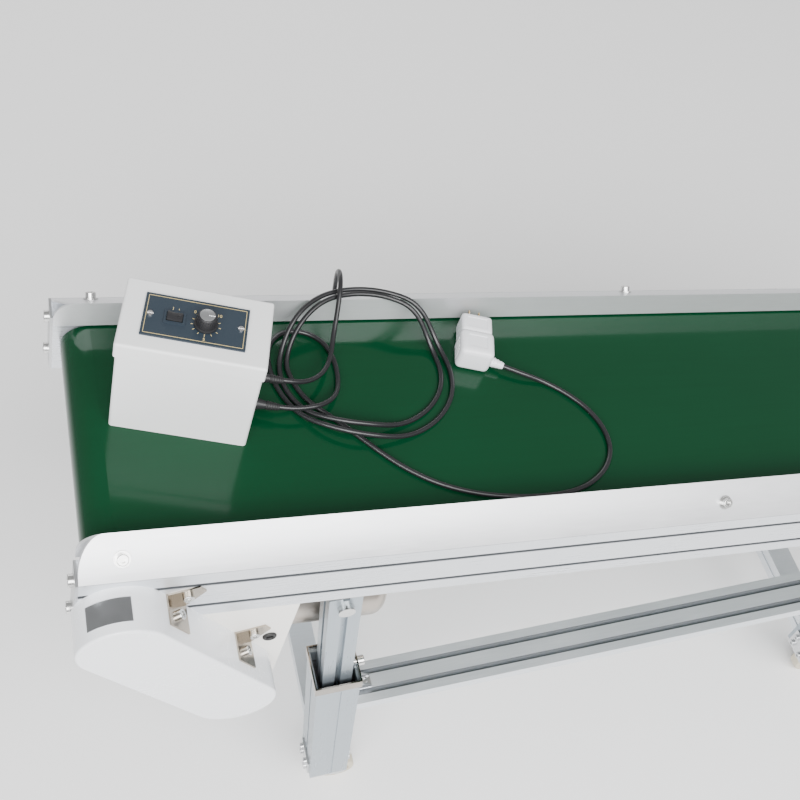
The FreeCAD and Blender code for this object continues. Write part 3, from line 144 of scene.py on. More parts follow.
class Sum:
    """A shader socket that can stand in a Python expression."""

    def __init__(self, finish, socket):
        self.finish = finish
        self.socket = socket

    def _with(self, operation, first, second):
        made = self.finish.node("ShaderNodeMath", {"operation": operation}, {0: first, 1: second})
        return Sum(self.finish, made.outputs[0])

    def __add__(self, other):
        return self._with("ADD", self, other)

    def __radd__(self, other):
        return self._with("ADD", other, self)

    def __sub__(self, other):
        return self._with("SUBTRACT", self, other)

    def __rsub__(self, other):
        return self._with("SUBTRACT", other, self)

    def __mul__(self, other):
        return self._with("MULTIPLY", self, other)

    def __rmul__(self, other):
        return self._with("MULTIPLY", other, self)

    def above(self, level):
        """A share that is 1 over a level and 0 under it."""
        return self._with("GREATER_THAN", self, level)


class Finish:
    """A material for one kind of surface, built round one Principled shader."""

    def __init__(self, name, **sockets):
        self.material = bpy.data.materials.new(name)
        self.material.use_nodes = True
        self.tree = self.material.node_tree
        self.shader = self.tree.nodes["Principled BSDF"]
        for socket, value in sockets.items():
            self.feed(socket.replace("_", " ").title().replace("Ior", "IOR"), value)

    def feed(self, socket, value):
        """Sets one of the shader's sockets, or links it."""
        target = self.shader.inputs[socket]
        if isinstance(value, Sum):
            self.tree.links.new(value.socket, target)
        elif isinstance(value, bpy.types.NodeSocket):
            self.tree.links.new(value, target)
        else:
            target.default_value = (*value, 1.0) if hasattr(value, "__len__") else value

    def node(self, kind, settings=None, sockets=None):
        """Adds a node, makes its settings, and sets or links its sockets."""
        made = self.tree.nodes.new(kind)
        for name, value in (settings or {}).items():
            setattr(made, name, value)
        for name, value in (sockets or {}).items():
            if isinstance(value, Sum):
                value = value.socket
            if isinstance(value, bpy.types.NodeSocket):
                self.tree.links.new(value, made.inputs[name])
            else:
                made.inputs[name].default_value = value
        return made

    def place(self, stretch, tilted):
        """Object coordinates, stretched, and those of the bed where the piece is tilted with it."""
        spot = self.node("ShaderNodeTexCoord").outputs["Object"]
        if tilted:
            origin = BED.inverted().translation
            sockets = {"Vector": spot, "Rotation": (0, -BED_TILT, 0), "Location": origin}
            spot = self.node("ShaderNodeMapping", {}, sockets).outputs[0]
        return self.node("ShaderNodeMapping", {}, {"Vector": spot, "Scale": stretch}).outputs[0]

    def noise(self, scale, detail, stretch=EVEN, tilted=False):
        """Smooth noise from 0 to 1, stretched where its marks run one way."""
        sockets = {"Vector": self.place(stretch, tilted), "Scale": scale, "Detail": detail}
        return Sum(self, self.node("ShaderNodeTexNoise", {}, sockets).outputs[0])

    def mix(self, share, first, second):
        """A colour between two, by a share that changes over the surface."""
        if not isinstance(first, bpy.types.NodeSocket):
            first = (*first, 1.0)
        sockets = {0: share, 6: first, 7: (*second, 1.0)}
        return self.node("ShaderNodeMix", {"data_type": "RGBA"}, sockets).outputs[2]

    def bands(self, boxes, tilted):
        """A share that is 1 inside boxes given by their ends along y and z, and 0 outside them."""
        parts = self.node("ShaderNodeSeparateXYZ", {}, {0: self.place(EVEN, tilted)}).outputs
        y, z = Sum(self, parts[1]), Sum(self, parts[2])
        share = 0.0
        for (y0, y1), (z0, z1) in boxes:
            across = y.above(y0) * (1.0 - y.above(y1))
            share = across * z.above(z0) * (1.0 - z.above(z1)) + share
        return share

    def bump(self, height, strength, distance):
        """Raises the surface by a height, and gives the finish back."""
        sockets = {"Height": height, "Strength": strength, "Distance": distance}
        self.feed("Normal", self.node("ShaderNodeBump", {}, sockets).outputs[0])
        return self


def drawn_aluminium(name, light, dark, roughness, stretch, tilted, groove_shade_boxes=()):
    """Extruded or rolled aluminium with fine lines along its length, and painted shade inside its
    grooves.
    """
    made = Finish(name, metallic=0.65)
    lines = made.noise(60.0, 2.0, stretch, tilted)
    clouds = made.noise(7.0, 3.0)
    colour = made.mix(lines * 0.6 + clouds * 0.4, dark, light)
    # Painted shade: the aluminium is darkened inside the grooves.
    if groove_shade_boxes:
        colour = made.mix(made.bands(groove_shade_boxes, tilted) * GROOVE_SHADE, colour, GROOVE_SHADE_COLOUR)
    made.feed("Base Color", colour)
    made.feed("Roughness", lines * 0.14 + clouds * 0.12 + (roughness - 0.13))
    return made.bump(lines, 0.10, 0.0004)


def plated_steel(name, light, dark, roughness):
    """Pressed steel with a mottled plated or polished skin."""
    made = Finish(name, metallic=1.0)
    mottle = made.noise(55.0, 4.0)
    smears = made.noise(9.0, 2.0, (1, 1, 3))
    made.feed("Base Color", made.mix(mottle * 0.5 + smears * 0.5, dark, light))
    made.feed("Roughness", mottle * 0.16 + smears * 0.12 + (roughness - 0.14))
    return made.bump(mottle, 0.08, 0.0003)


def moulded(name, colour, roughness, grain, strength, shade, coat=0.0):
    """Moulded plastic, rubber or paint with a fine grain and faint handling marks."""
    made = Finish(name, coat_weight=coat)
    fine = made.noise(grain, 2.0)
    marks = made.noise(12.0, 4.0)
    made.feed("Base Color", made.mix(marks, tuple(c * shade for c in colour), colour))
    made.feed("Roughness", marks * 0.12 + fine * 0.08 + (roughness - 0.10))
    return made.bump(fine, strength, 0.0003)


def belt_surface(colour):
    """Glossy PVC belt: a smooth skin with faint scuffs along the belt and a slight weave below."""
    made = Finish("belt_green", coat_weight=0.10, coat_roughness=0.06, specular_ior_level=0.22)
    scuffs = made.noise(30.0, 4.0, (0.25, 6.0, 1.0), True)
    clouds = made.noise(5.0, 3.0)
    weave = made.noise(900.0, 1.0)
    worn = tuple(c * 0.75 for c in colour)
    made.feed("Base Color", made.mix(scuffs * 0.4 + clouds * 0.6, worn, colour))
    made.feed("Roughness", scuffs * 0.10 + clouds * 0.06 + 0.06)
    return made.bump(weave, 0.05, 0.0002)


def wear(made, nodes):
    """Gives CAD nodes a finish in place of their plain one."""
    for name in nodes:
        slots = NODES[name].data.materials
        slots.clear()
        slots.append(made.material)


# ---- modelling helpers
FACING = 0.99
SMOOTH_ANGLE = 30
SINK_WALL = 0.3


def deselect():
    """Leaves edit mode with nothing selected."""
    if bpy.context.object and bpy.context.object.mode != "OBJECT":
        bpy.ops.object.mode_set(mode="OBJECT")
    bpy.ops.object.select_all(action="DESELECT")


def pick(piece):
    """Makes a piece the only selected one."""
    deselect()
    piece.select_set(True)
    bpy.context.view_layer.objects.active = piece


def cube(name, size, at):
    """A block of a size, standing about a point, as a start for a piece."""
    deselect()
    bpy.ops.mesh.primitive_cube_add(size=1, location=at)
    piece = bpy.context.object
    piece.name = name
    piece.scale = size
    bpy.ops.object.transform_apply(location=False, rotation=False, scale=True)
    return piece


def drum(name, radius, depth, at, turn=(0, 0, 0), sides=48, tip=None):
    """A round start for a piece, tapered when its tip radius differs."""
    deselect()
    bpy.ops.mesh.primitive_cone_add(
        vertices=sides, radius1=radius, radius2=radius if tip is None else tip, depth=depth,
        location=at, rotation=turn,
    )
    piece = bpy.context.object
    piece.name = name
    return piece


def torus(name, ring, thick, at, turn=(0, 0, 0)):
    """A ring about z, before it is turned."""
    deselect()
    bpy.ops.mesh.primitive_torus_add(
        major_radius=ring, minor_radius=thick, location=at, rotation=turn, major_segments=40,
        minor_segments=12,
    )
    piece = bpy.context.object
    piece.name = name
    return piece


def bevel(piece, width, segments=3, limit=30):
    """Rounds the edges that are sharper than a limit in degrees."""
    pick(piece)
    made = piece.modifiers.new("edge", "BEVEL")
    made.width = width
    made.segments = segments
    made.limit_method = "ANGLE"
    made.angle_limit = math.radians(limit)
    bpy.ops.object.modifier_apply(modifier=made.name)
    return piece


def choose_faces(piece, wanted):
    """Goes into edit mode with only the faces that a test picks out."""
    pick(piece)
    bpy.ops.object.mode_set(mode="EDIT")
    bpy.ops.mesh.select_mode(type="FACE")
    bpy.ops.mesh.select_all(action="DESELECT")
    bpy.ops.object.mode_set(mode="OBJECT")
    for face in piece.data.polygons:
        face.select = wanted(face)
    bpy.ops.object.mode_set(mode="EDIT")


def sink(piece, wanted, margin, depth):
    """Insets the chosen faces and pushes them in by a depth along their own normal."""
    choose_faces(piece, wanted)
    bpy.ops.mesh.inset(thickness=margin, depth=0)
    bpy.ops.mesh.inset(thickness=depth * SINK_WALL, depth=-depth)
    bpy.ops.object.mode_set(mode="OBJECT")
    return piece


def joined(name, pieces):
    """Joins pieces into the first of them."""
    deselect()
    for piece in pieces:
        piece.select_set(True)
    bpy.context.view_layer.objects.active = pieces[0]
    if len(pieces) > 1:
        bpy.ops.object.join()
    piece = bpy.context.object
    piece.name = name
    return piece


def settle(piece, place, body, finish, replaced=(), smooth=SMOOTH_ANGLE):
    """Puts a finished piece in its place, kept in its mesh, and ties it to its body."""
    pick(piece)
    bpy.ops.object.transform_apply(location=True, rotation=True, scale=True)
    piece.matrix_world = place
    bpy.ops.object.transform_apply(location=True, rotation=True, scale=True)
    bpy.ops.object.shade_smooth_by_angle(angle=math.radians(smooth))
    piece.data.materials.clear()
    piece.data.materials.append(finish.material)
    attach(piece, body)
    if replaced:
        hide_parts(*replaced)
    return piece


# ---- cords
RIB_COUNT = 5
RIB_START = 0.7
RIB_END = 0.6
RIB_R = 0.0006


def gland_end(gland, ahead):
    """The bed point a little way ahead of where a cord leaves one of the box's glands."""
    outward = Vector((math.cos(BOX_TURN), math.sin(BOX_TURN), 0))
    across = Vector((-math.sin(BOX_TURN), math.cos(BOX_TURN), 0))
    corner = Vector((*BOX_PLACE, ON_BELT + gland[1]))
    return tuple(corner + outward * (BOX_SIZE[0] + GLAND_LENGTH + ahead) + across * gland[0])


def coil_point(step, lying):
    """A point of the loose coil, which lies on the belt and leans on the far guard."""
    angle = COIL_START + step * 360.0 / COIL_STEPS
    turns = step / COIL_STEPS
    slack = COIL_SLACK * max(0.0, math.cos(math.radians(angle - COIL_SLACK_AT))) * (turns >= 1)
    a = math.radians(angle)
    x = COIL_CENTRE[0] + (COIL_REACH[0] - COIL_SHRINK * turns - slack) * math.cos(a)
    y = COIL_CENTRE[1] + (COIL_REACH[1] - COIL_SHRINK * turns - slack) * math.sin(a)
    share = min(1.0, max(0.0, (y - COIL_LEAN[0]) / (COIL_LEAN[1] - COIL_LEAN[0])))
    z = lying + (COIL_TOP - lying) * share * share * (3 - 2 * share)
    if step % COIL_STEPS in COIL_HUMP_STEPS:
        z += CORD_LIFT
    return x, y, z


def mains_route(lying):
    """From the box's gland, round a small loop and two loose turns, and along to the plug."""
    exit_point = gland_end(MAINS_GLAND, 0.0)
    z = exit_point[2]
    start = [exit_point, gland_end(MAINS_GLAND, FIRST_RUN), (0.262, 0.191, z), (0.288, 0.195, z),
             (0.309, 0.214, 0.002)]
    loop = [(0.319, 0.243), (0.320, 0.275), (0.311, 0.302), (0.288, 0.318), (0.261, 0.316),
            (0.243, 0.297), (0.237, 0.268)]
    coil = [coil_point(i, lying) for i in range(COIL_POINTS)]
    tail = [(0.262, 0.238), (0.275, 0.210), (0.298, 0.188), (0.320, 0.164), (0.344, 0.136),
            (0.372, 0.108), (0.408, 0.084), (0.452, 0.068), (0.502, 0.060), (0.548, 0.059),
            (0.588, 0.066), (0.622, 0.086), (0.643, 0.115), (0.646, 0.148), (0.634, 0.180),
            (0.612, 0.206), (0.587, 0.225)]
    cx, cy = PLUG_CORD_AIM
    px, py = PLUG_PLACE
    near, far = PLUG_RELIEF[1], PLUG_RELIEF[1] + PLUG_CORD_END
    end = [(px + cx * reach, py + cy * reach, PLUG_CORD_Z) for reach in (far, near)]
    flat_loop, flat_tail = ([(a, b, lying) for a, b in points] for points in (loop, tail))
    return start + flat_loop + coil + flat_tail + end


def motor_route():
    """From the box's gland, over the far guard, down the far rail and under it to the motor."""
    return [
        gland_end(MOTOR_GLAND, 0.0), gland_end(MOTOR_GLAND, FIRST_RUN),
        (0.273, 0.222, 0.019), (0.295, 0.238, 0.013), (0.310, 0.262, 0.010),
        (0.318, 0.290, 0.017), (0.325, 0.315, 0.035), (0.330, 0.337, 0.052),
        (0.335, 0.361, 0.052), (0.340, 0.381, 0.035), (0.345, 0.388, 0.005),
        (0.350, 0.387, -0.032), (0.356, 0.386, -0.068), (0.364, 0.378, -0.102),
        (0.373, 0.358, -0.130), (0.381, 0.330, -0.150), (0.386, 0.298, -0.168),
        (0.386, 0.264, -0.186), (0.384, 0.246, -0.216), (0.374, 0.240, -0.252),
        (0.359, 0.224, -0.276), (0.350, 0.199, -0.285), (0.350, 0.178, -0.285),
    ]


def cord_curve(name, route, diameter):
    """A round cord along one smooth line that the route's points control."""
    data = bpy.data.curves.new(name, "CURVE")
    data.dimensions = "3D"
    line = data.splines.new("NURBS")
    line.points.add(len(route) - 1)
    for point, place in zip(line.points, route):
        point.co = (*(BED @ Vector(place)), 1.0)
    line.order_u = 3
    line.use_endpoint_u = True
    line.resolution_u = 8
    data.bevel_depth = diameter / 2
    data.bevel_resolution = 5
    data.use_fill_caps = True
    piece = bpy.data.objects.new(name, data)
    bpy.context.scene.collection.objects.link(piece)
    return piece


def along(start, aim):
    """A matrix that stands a piece drawn up z at a start point, pointing along an aim."""
    return Matrix.Translation(start) @ Vector(aim).to_track_quat("Z", "Y").to_matrix().to_4x4()


def relief(name, base, tip, length):
    """A ribbed sleeve, drawn up z from the origin."""
    sleeve = drum(name, base, length, (0, 0, length / 2), tip=tip)
    ribs = []
    for i in range(RIB_COUNT):
        share = (i + RIB_START) / (RIB_COUNT + RIB_END)
        ribs.append(torus(name, base + (tip - base) * share, RIB_R, (0, 0, length * share)))
    return joined(name, [bevel(sleeve, RIB_R, 2)] + ribs)


class ConveyorLooks(bpy.types.PropertyGroup):
    """The sizes and colours that a user would change."""

    belt_colour: FloatVectorProperty(
        name="Belt colour", description="Colour of the belt's skin",
        subtype="COLOR", size=3, default=(0.0010, 0.042, 0.015), min=0, max=1,
    )
    cover_colour: FloatVectorProperty(
        name="Cover colour", description="Paint on the drive cover",
        subtype="COLOR", size=3, default=(0.86, 0.88, 0.91), min=0, max=1,
    )
    plate_colour: FloatVectorProperty(
        name="Motor plate colour", description="Paint on the plate that carries the motor",
        subtype="COLOR", size=3, default=(0.86, 0.84, 0.80), min=0, max=1,
    )
    box_colour: FloatVectorProperty(
        name="Control box colour", description="Plastic of the control box",
        subtype="COLOR", size=3, default=(0.80, 0.81, 0.81), min=0, max=1,
    )
    floor_colour: FloatVectorProperty(
        name="Floor colour", description="Colour of the studio floor",
        subtype="COLOR", size=3, default=(0.96, 0.96, 0.96), min=0, max=1,
    )
    cord_diameter: FloatProperty(
        name="Cord diameter", description="Diameter of both cords",
        unit="LENGTH", default=0.006, min=0.003, max=0.012,
    )
    mains_length: FloatProperty(
        name="Mains cord length", description="Length of the mains cord from gland to plug",
        unit="LENGTH", default=2.25, min=0.5, max=5.0,
    )
    motor_cord_length: FloatProperty(
        name="Motor cord length", description="Length of the cord from the box to the motor",
        unit="LENGTH", default=0.67, min=0.3, max=2.0,
    )
    knob_ridges: IntProperty(
        name="Knob ridges", description="Grip ridges round the speed knob",
        default=24, min=8, max=48,
    )
    dial_marks: IntProperty(
        name="Dial marks", description="Marks round the speed knob", default=11, min=5, max=21,
    )
    floor_size: FloatProperty(
        name="Floor size", description="Side of the studio floor",
        unit="LENGTH", default=14.0, min=3.0, max=40.0,
    )


class CONVEYOR_OT_stage(bpy.types.Operator):
    """Lays the floor and sets the lights and the camera"""

    bl_idname = "conveyor.stage"
    bl_label = "Stage"

    CAMERA_AT = (-0.0751, -0.5125, 1.0003)
    CAMERA_RIGHT = (0.9353, -0.2438, 0.2564)
    CAMERA_DOWN = (-0.0459, -0.8021, -0.5954)
    CAMERA_AHEAD = (0.3508, 0.5451, -0.7614)
    LENS = 49.64
    SENSOR = 36.0
    AIR_STRENGTH = 0.50
    # Each light's name, size, power, place and aim.
    LIGHTS = (
        ("key_light", (2.4, 1.4), 110.0, (-1.6, -2.2, 2.6), (-0.2, 0, 0.7)),
        ("far_light", (3.0, 1.0), 30.0, (-0.4, 3.4, 1.7), (0, 0, 0.6)),
        ("floor_light", (5.0, 3.0), 480.0, (0.8, -3.4, 4.6), (0.3, 1.0, 0)),
    )

    def light(self, name, size, energy, at, aim):
        """A flat light that faces a point."""
        data = bpy.data.lights.new(name, "AREA")
        data.shape = "RECTANGLE"
        data.size, data.size_y = size
        data.energy = energy
        lamp = bpy.data.objects.new(name, data)
        bpy.context.scene.collection.objects.link(lamp)
        lamp.location = at
        lamp.rotation_euler = (Vector(aim) - Vector(at)).to_track_quat("-Z", "Y").to_euler()

    def execute(self, context):
        looks = context.scene.conveyor_looks
        deselect()
        bpy.ops.mesh.primitive_plane_add(size=looks.floor_size, location=(0, 0, 0))
        floor = context.object
        floor.name = "studio_floor"
        finish = moulded(
            "floor_paint", colour=tuple(looks.floor_colour), roughness=0.75, grain=40.0,
            strength=0.02, shade=0.985,
        )
        floor.data.materials.append(finish.material)

        world = bpy.data.worlds.new("studio_air")
        world.use_nodes = True
        air = world.node_tree.nodes["Background"]
        air.inputs["Color"].default_value = (1.0, 1.0, 1.0, 1.0)
        air.inputs["Strength"].default_value = self.AIR_STRENGTH
        context.scene.world = world
        for lamp in self.LIGHTS:
            self.light(*lamp)

        data = bpy.data.cameras.new("camera")
        data.sensor_width = self.SENSOR
        data.lens = self.LENS
        data.clip_end = 60.0
        camera = bpy.data.objects.new("camera", data)
        context.scene.collection.objects.link(camera)
        turn = BED.to_3x3()
        aims = (self.CAMERA_RIGHT, self.CAMERA_DOWN, self.CAMERA_AHEAD)
        right, down, ahead = (turn @ Vector(aim) for aim in aims)
        axes = Matrix((right, -down, -ahead)).transposed().to_4x4()
        camera.matrix_world = Matrix.Translation(BED @ Vector(self.CAMERA_AT)) @ axes
        context.scene.camera = camera
        return {"FINISHED"}


class CONVEYOR_OT_plug_and_cords(bpy.types.Operator):
    """Makes the mains cord with its plug, and the cord to the motor"""

    bl_idname = "conveyor.plug_and_cords"
    bl_label = "Plug and cords"

    # A sunk panel is given by its margin and its depth.
    BODY_EDGE = 0.007
    BODY_PANEL = (0.003, 0.0009)
    ADAPTER_EDGE = 0.005
    ADAPTER_TOP = (0.002, 0.0007)
    ADAPTER_END = (0.003, 0.0010)
    ADAPTER_LAP = 0.002
    ADAPTER_RISE = 0.002
    BROAD = 0.2
    GRIPS = 4
    GRIP_SIZE = (0.0016, 0.0026, 0.55)
    GRIP_START = -0.010
    GRIP_STEP = 0.006
    GRIP_EDGE = 0.0007
    BLADE_SIZE = (0.0016, 0.016, 0.006)
    BLADE_PLACES = (-0.0065, 0.0065)
    BLADE_EDGE = 0.0005
    RELIEF_BASE = 0.0078
    RELIEF_TIP_WALL = 0.0011
    RELIEF_GAP = 0.0004
    SLEEVE_WALLS = (0.0022, 0.0006)
    SLEEVE_SHARE = 0.75

    def plug(self, white):
        """The plug's body, its adapter and its grips, drawn along y."""
        w, d, h = PLUG_SIZE
        body = bevel(cube("mains_plug_body", PLUG_SIZE, (0, 0, h / 2)), self.BODY_EDGE, 5)
        top = w * d * self.BROAD
        body = sink(body, lambda f: f.normal.z > FACING and f.area > top, *self.BODY_PANEL)
        aw, ad, ah = ADAPTER_SIZE
        lap, rise = self.ADAPTER_LAP, self.ADAPTER_RISE
        middle = (0, d / 2 + ad / 2 - lap / 2, rise + ah / 2)
        ahead = bevel(cube("adapter", (aw, ad + lap, ah), middle), self.ADAPTER_EDGE, 5)
        lid, face = aw * ad * self.BROAD, aw * ah * self.BROAD
        ahead = sink(ahead, lambda f: f.normal.z > FACING and f.area > lid, *self.ADAPTER_TOP)
        ahead = sink(ahead, lambda f: f.normal.y > FACING and f.area > face, *self.ADAPTER_END)
        thick, wide, tall = self.GRIP_SIZE
        grips = []
        for side in (-1, 1):
            for i in range(self.GRIPS):
                spot = (side * w / 2, self.GRIP_START + i * self.GRIP_STEP, h / 2)
                grips.append(bevel(cube("grip", (thick, wide, h * tall), spot), self.GRIP_EDGE, 2))
        shell = joined("mains_plug_body", [body, ahead] + grips)
        return settle(shell, PLUG, "bed", white, ["mains_plug"], 35)

    def pins(self, brass):
        """The adapter's two flat pins."""
        y = PLUG_SIZE[1] / 2 + ADAPTER_SIZE[1] + self.BLADE_SIZE[1] / 2
        z = self.ADAPTER_RISE + ADAPTER_SIZE[2] / 2
        blades = [
            bevel(cube("blade", self.BLADE_SIZE, (x, y, z)), self.BLADE_EDGE, 2)
            for x in self.BLADE_PLACES
        ]
        pair = joined("mains_plug_blades", blades)
        return settle(pair, PLUG, "bed", brass, ["plug_pins"])

    def execute(self, context):
        looks = context.scene.conveyor_looks
        radius = looks.cord_diameter / 2
        sheath = moulded(
            "cord_sheath", colour=(0.014, 0.014, 0.016), roughness=0.34, grain=700.0, strength=0.08,
            shade=0.7, coat=0.10,
        )
        sleeve = moulded(
            "relief_rubber", colour=(0.012, 0.012, 0.013), roughness=0.55, grain=600.0,
            strength=0.10, shade=0.8,
        )
        white = moulded(
            "plug_plastic", colour=(0.84, 0.85, 0.88), roughness=0.28, grain=500.0, strength=0.04,
            shade=0.96, coat=0.15,
        )
        brass = plated_steel(
            "worn_brass", light=(0.62, 0.46, 0.24), dark=(0.40, 0.29, 0.15), roughness=0.36,
        )

        plug = self.plug(white)
        blades = self.pins(brass)
        aim = BED.to_3x3() @ Vector((*PLUG_CORD_AIM, 0.0))
        base = Vector((*PLUG_PLACE, PLUG_CORD_Z)) + Vector((*PLUG_CORD_AIM, 0.0)) * PLUG_RELIEF[0]
        reach = PLUG_RELIEF[1] - PLUG_RELIEF[0] - self.RELIEF_GAP
        tip = radius + self.RELIEF_TIP_WALL
        stub = relief("mains_plug_relief", self.RELIEF_BASE, tip, reach)
        stub = settle(stub, along(BED @ base, aim), "bed", white)

        out = BED.to_3x3() @ Vector((math.cos(BOX_TURN), math.sin(BOX_TURN), 0))
        base_wall, tip_wall = self.SLEEVE_WALLS
        glands = (("mains_gland_sleeve", MAINS_GLAND), ("motor_gland_sleeve", MOTOR_GLAND))
        for name, gland in glands:
            reach = FIRST_RUN * self.SLEEVE_SHARE
            piece = relief(name, radius + base_wall, radius + tip_wall, reach)
            start = BED @ Vector(gland_end(gland, 0.0))
            settle(piece, along(start, out), "bed", sleeve)

        mains = cord_curve("mains_flex", mains_route(ON_BELT + radius), looks.cord_diameter)
        motor = cord_curve("motor_flex", motor_route(), looks.cord_diameter)
        for piece, node in ((mains, "mains_cord"), (motor, "motor_cord")):
            piece.data.materials.append(sheath.material)
            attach(piece, "bed")
            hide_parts(node)
        return {"FINISHED"}


class CONVEYOR_OT_control_box(bpy.types.Operator):
    """Finishes the control box and makes its knob, switch and plain dial marks"""

    bl_idname = "conveyor.control_box"
    bl_label = "Control box"

    KNOB_TAPER = 0.84
    KNOB_GAP = 0.0003
    RIDGE_SIZE = (0.0012, 0.0011, 0.7)
    RIDGE_REACH = 0.93
    RIDGE_MIDDLE = 0.48
    RIDGE_LEAN = -0.06
    SKIRT_WALL = 0.0014
    SKIRT_HEIGHT = 0.003
    CAP_REACH = 0.72
    CAP_THICK = 0.0008
    CAP_RISE = 0.0001
    POINTER_SIZE = (0.60, 0.0012, 0.0005)
    POINTER_MIDDLE = 0.42
    POINTER_RISE = 0.0006
    ROCKER_PLAY = 0.0012
    ROCKER_THICK = 0.003
    ROCKER_MIDDLE = 0.0019
    ROCKER_RISE = 0.0011
    ROCKER_DIP = 0.0008
    DIMPLE = (0.0013, 0.0002)
    DIMPLE_AT = (0.0045, 0, 0.0033)
    SWEEP = math.radians(280)
    MARK_GAP = 0.0034
    MARK_LENGTHS = (0.0022, 0.0034)
    MARK_WIDTH = 0.0006
    MARK_THICK = 0.0002
    MARK_RISE = 0.0001
    NUMBERED = 5
    DIGIT_SIZE = 0.0052
    DIGIT_DEPTH = 0.0001
    DIGIT_GAP = 0.0052
    BORDER_INSET = 0.003
    BORDER_WIDTH = 0.0005
    SWITCH_MARKS = (0.004, 0.0015)
    SWITCH_MARK_AT = (-0.003, 0.0125)
    SWITCH_MARK_STEP = 0.006

    def knob(self, looks, black, grey):
        """A ridged black knob with a grey cap and a pointer line, drawn up z."""
        tip = KNOB_REACH * self.KNOB_TAPER
        middle = (0, 0, KNOB_HEIGHT / 2)
        body = drum("speed_knob_grip", KNOB_REACH, KNOB_HEIGHT, middle, tip=tip, sides=64)
        parts = [bevel(body, 0.0009, 3)]
        thick, wide, tall = self.RIDGE_SIZE
        reach = KNOB_REACH * self.RIDGE_REACH
        up = KNOB_HEIGHT * self.RIDGE_MIDDLE
        for i in range(looks.knob_ridges):
            a = i * math.tau / looks.knob_ridges
            ridge = bevel(cube("ridge", (thick, wide, KNOB_HEIGHT * tall), (0, 0, 0)), 0.0004, 2)
            ridge.location = (reach * math.cos(a), reach * math.sin(a), up)
            ridge.rotation_euler = (0, self.RIDGE_LEAN, a)
            parts.append(ridge)
        low = (0, 0, self.SKIRT_HEIGHT / 2)
        skirt = drum("skirt", KNOB_REACH + self.SKIRT_WALL, self.SKIRT_HEIGHT, low, sides=64)
        parts.append(bevel(skirt, 0.0006, 2))
        place = BOX @ Matrix.Translation((*KNOB_AT, PANEL_TOP + self.KNOB_GAP))
        grip = joined("speed_knob_grip", parts)
        settle(grip, place, "speed_knob", black, ["speed_knob"])
        high = (0, 0, KNOB_HEIGHT + self.CAP_RISE)
        cap = drum("speed_knob_cap", KNOB_REACH * self.CAP_REACH, self.CAP_THICK, high)
        cap = bevel(cap, 0.0003, 2)
        long, wide, thick = self.POINTER_SIZE
        spot = (KNOB_REACH * self.POINTER_MIDDLE, 0, KNOB_HEIGHT + self.POINTER_RISE)
        line = cube("pointer", (KNOB_REACH * long, wide, thick), spot)
        both = joined("speed_knob_cap", [cap, bevel(line, 0.0001, 1)])
        settle(both, place, "speed_knob", grey)

    def rocker(self, black):
        """The switch's tipped cap with a small round dimple."""
        w, d = (side - self.ROCKER_PLAY for side in ROCKER_SIZE)
        cap = cube("power_rocker", (w, d, self.ROCKER_THICK), (0, 0, self.ROCKER_MIDDLE))
        choose_faces(cap, lambda f: f.normal.z > FACING)
        bpy.ops.mesh.subdivide(number_cuts=1)
        bpy.ops.object.mode_set(mode="OBJECT")
        near = 0.001
        for vertex in cap.data.vertices:
            if vertex.co.z > near:
                raised = self.ROCKER_RISE * (vertex.co.x < -near)
                vertex.co.z += raised - self.ROCKER_DIP * (abs(vertex.co.x) < near)
        cap = bevel(cap, 0.0004, 2, 20)
        dot = torus("dimple", *self.DIMPLE, self.DIMPLE_AT)
        place = BOX @ Matrix.Translation((*ROCKER_AT, PANEL_TOP))
        switch = joined("power_rocker", [cap, dot])
        settle(switch, place, "rocker_switch", black, ["rocker_switch"])

    def round_knob(self, reach, angle):
        """A place on the panel at a reach and an angle from the knob's middle."""
        return KNOB_AT[0] + reach * math.cos(angle), KNOB_AT[1] + reach * math.sin(angle), 0.0

    def digit(self, figure, at):
        """One of the dial's numbers, as a mesh."""
        deselect()
        bpy.ops.object.text_add(location=(0, 0, 0))
        made = bpy.context.object
        made.data.body = figure
        made.data.size = self.DIGIT_SIZE
        made.data.extrude = self.DIGIT_DEPTH
        made.data.align_x = "CENTER"
        made.data.align_y = "CENTER"
        made.location = at
        bpy.ops.object.convert(target="MESH")
        return bpy.context.object

    def marks(self, looks, gold):
        """Plain scale marks, dial numbers and border lines on the panel."""
        parts = []
        thick = self.MARK_THICK
        reach = KNOB_REACH + self.MARK_GAP
        for i in range(looks.dial_marks):
            numbered = i % self.NUMBERED == 0
            share = i * self.SWEEP / (looks.dial_marks - 1)
            a = math.pi / 2 - self.SWEEP / 2 + share + math.pi
            long = self.MARK_LENGTHS[numbered]
            mark = cube("mark", (long, self.MARK_WIDTH, thick), (0, 0, 0))
            mark.location = self.round_knob(reach, a)
            mark.rotation_euler = (0, 0, a)
            parts.append(mark)
            if numbered:
                parts.append(self.digit(str(i), self.round_knob(reach + self.DIGIT_GAP, a)))
        x0, y0 = PANEL_AT
        w, d = PANEL_SIZE
        inset, line = self.BORDER_INSET, self.BORDER_WIDTH
        for size, at in (
            ((w - 2 * inset, line), (x0 + w / 2, y0 + inset)),
            ((w - 2 * inset, line), (x0 + w / 2, y0 + d - inset)),
            ((line, d - 2 * inset), (x0 + inset, y0 + d / 2)),
            ((line, d - 2 * inset), (x0 + w - inset, y0 + d / 2)),
        ):
            parts.append(cube("border", (*size, thick), (*at, 0.0)))
        across, up = self.SWITCH_MARK_AT
        for i, tall in enumerate(self.SWITCH_MARKS):
            at = (ROCKER_AT[0] + across + i * self.SWITCH_MARK_STEP, ROCKER_AT[1] + up, 0.0)
            parts.append(cube("switch_mark", (self.MARK_WIDTH, tall, thick), at))
        place = BOX @ Matrix.Translation((0, 0, PANEL_TOP + self.MARK_RISE))
        settle(joined("panel_marks", parts), place, "bed", gold)

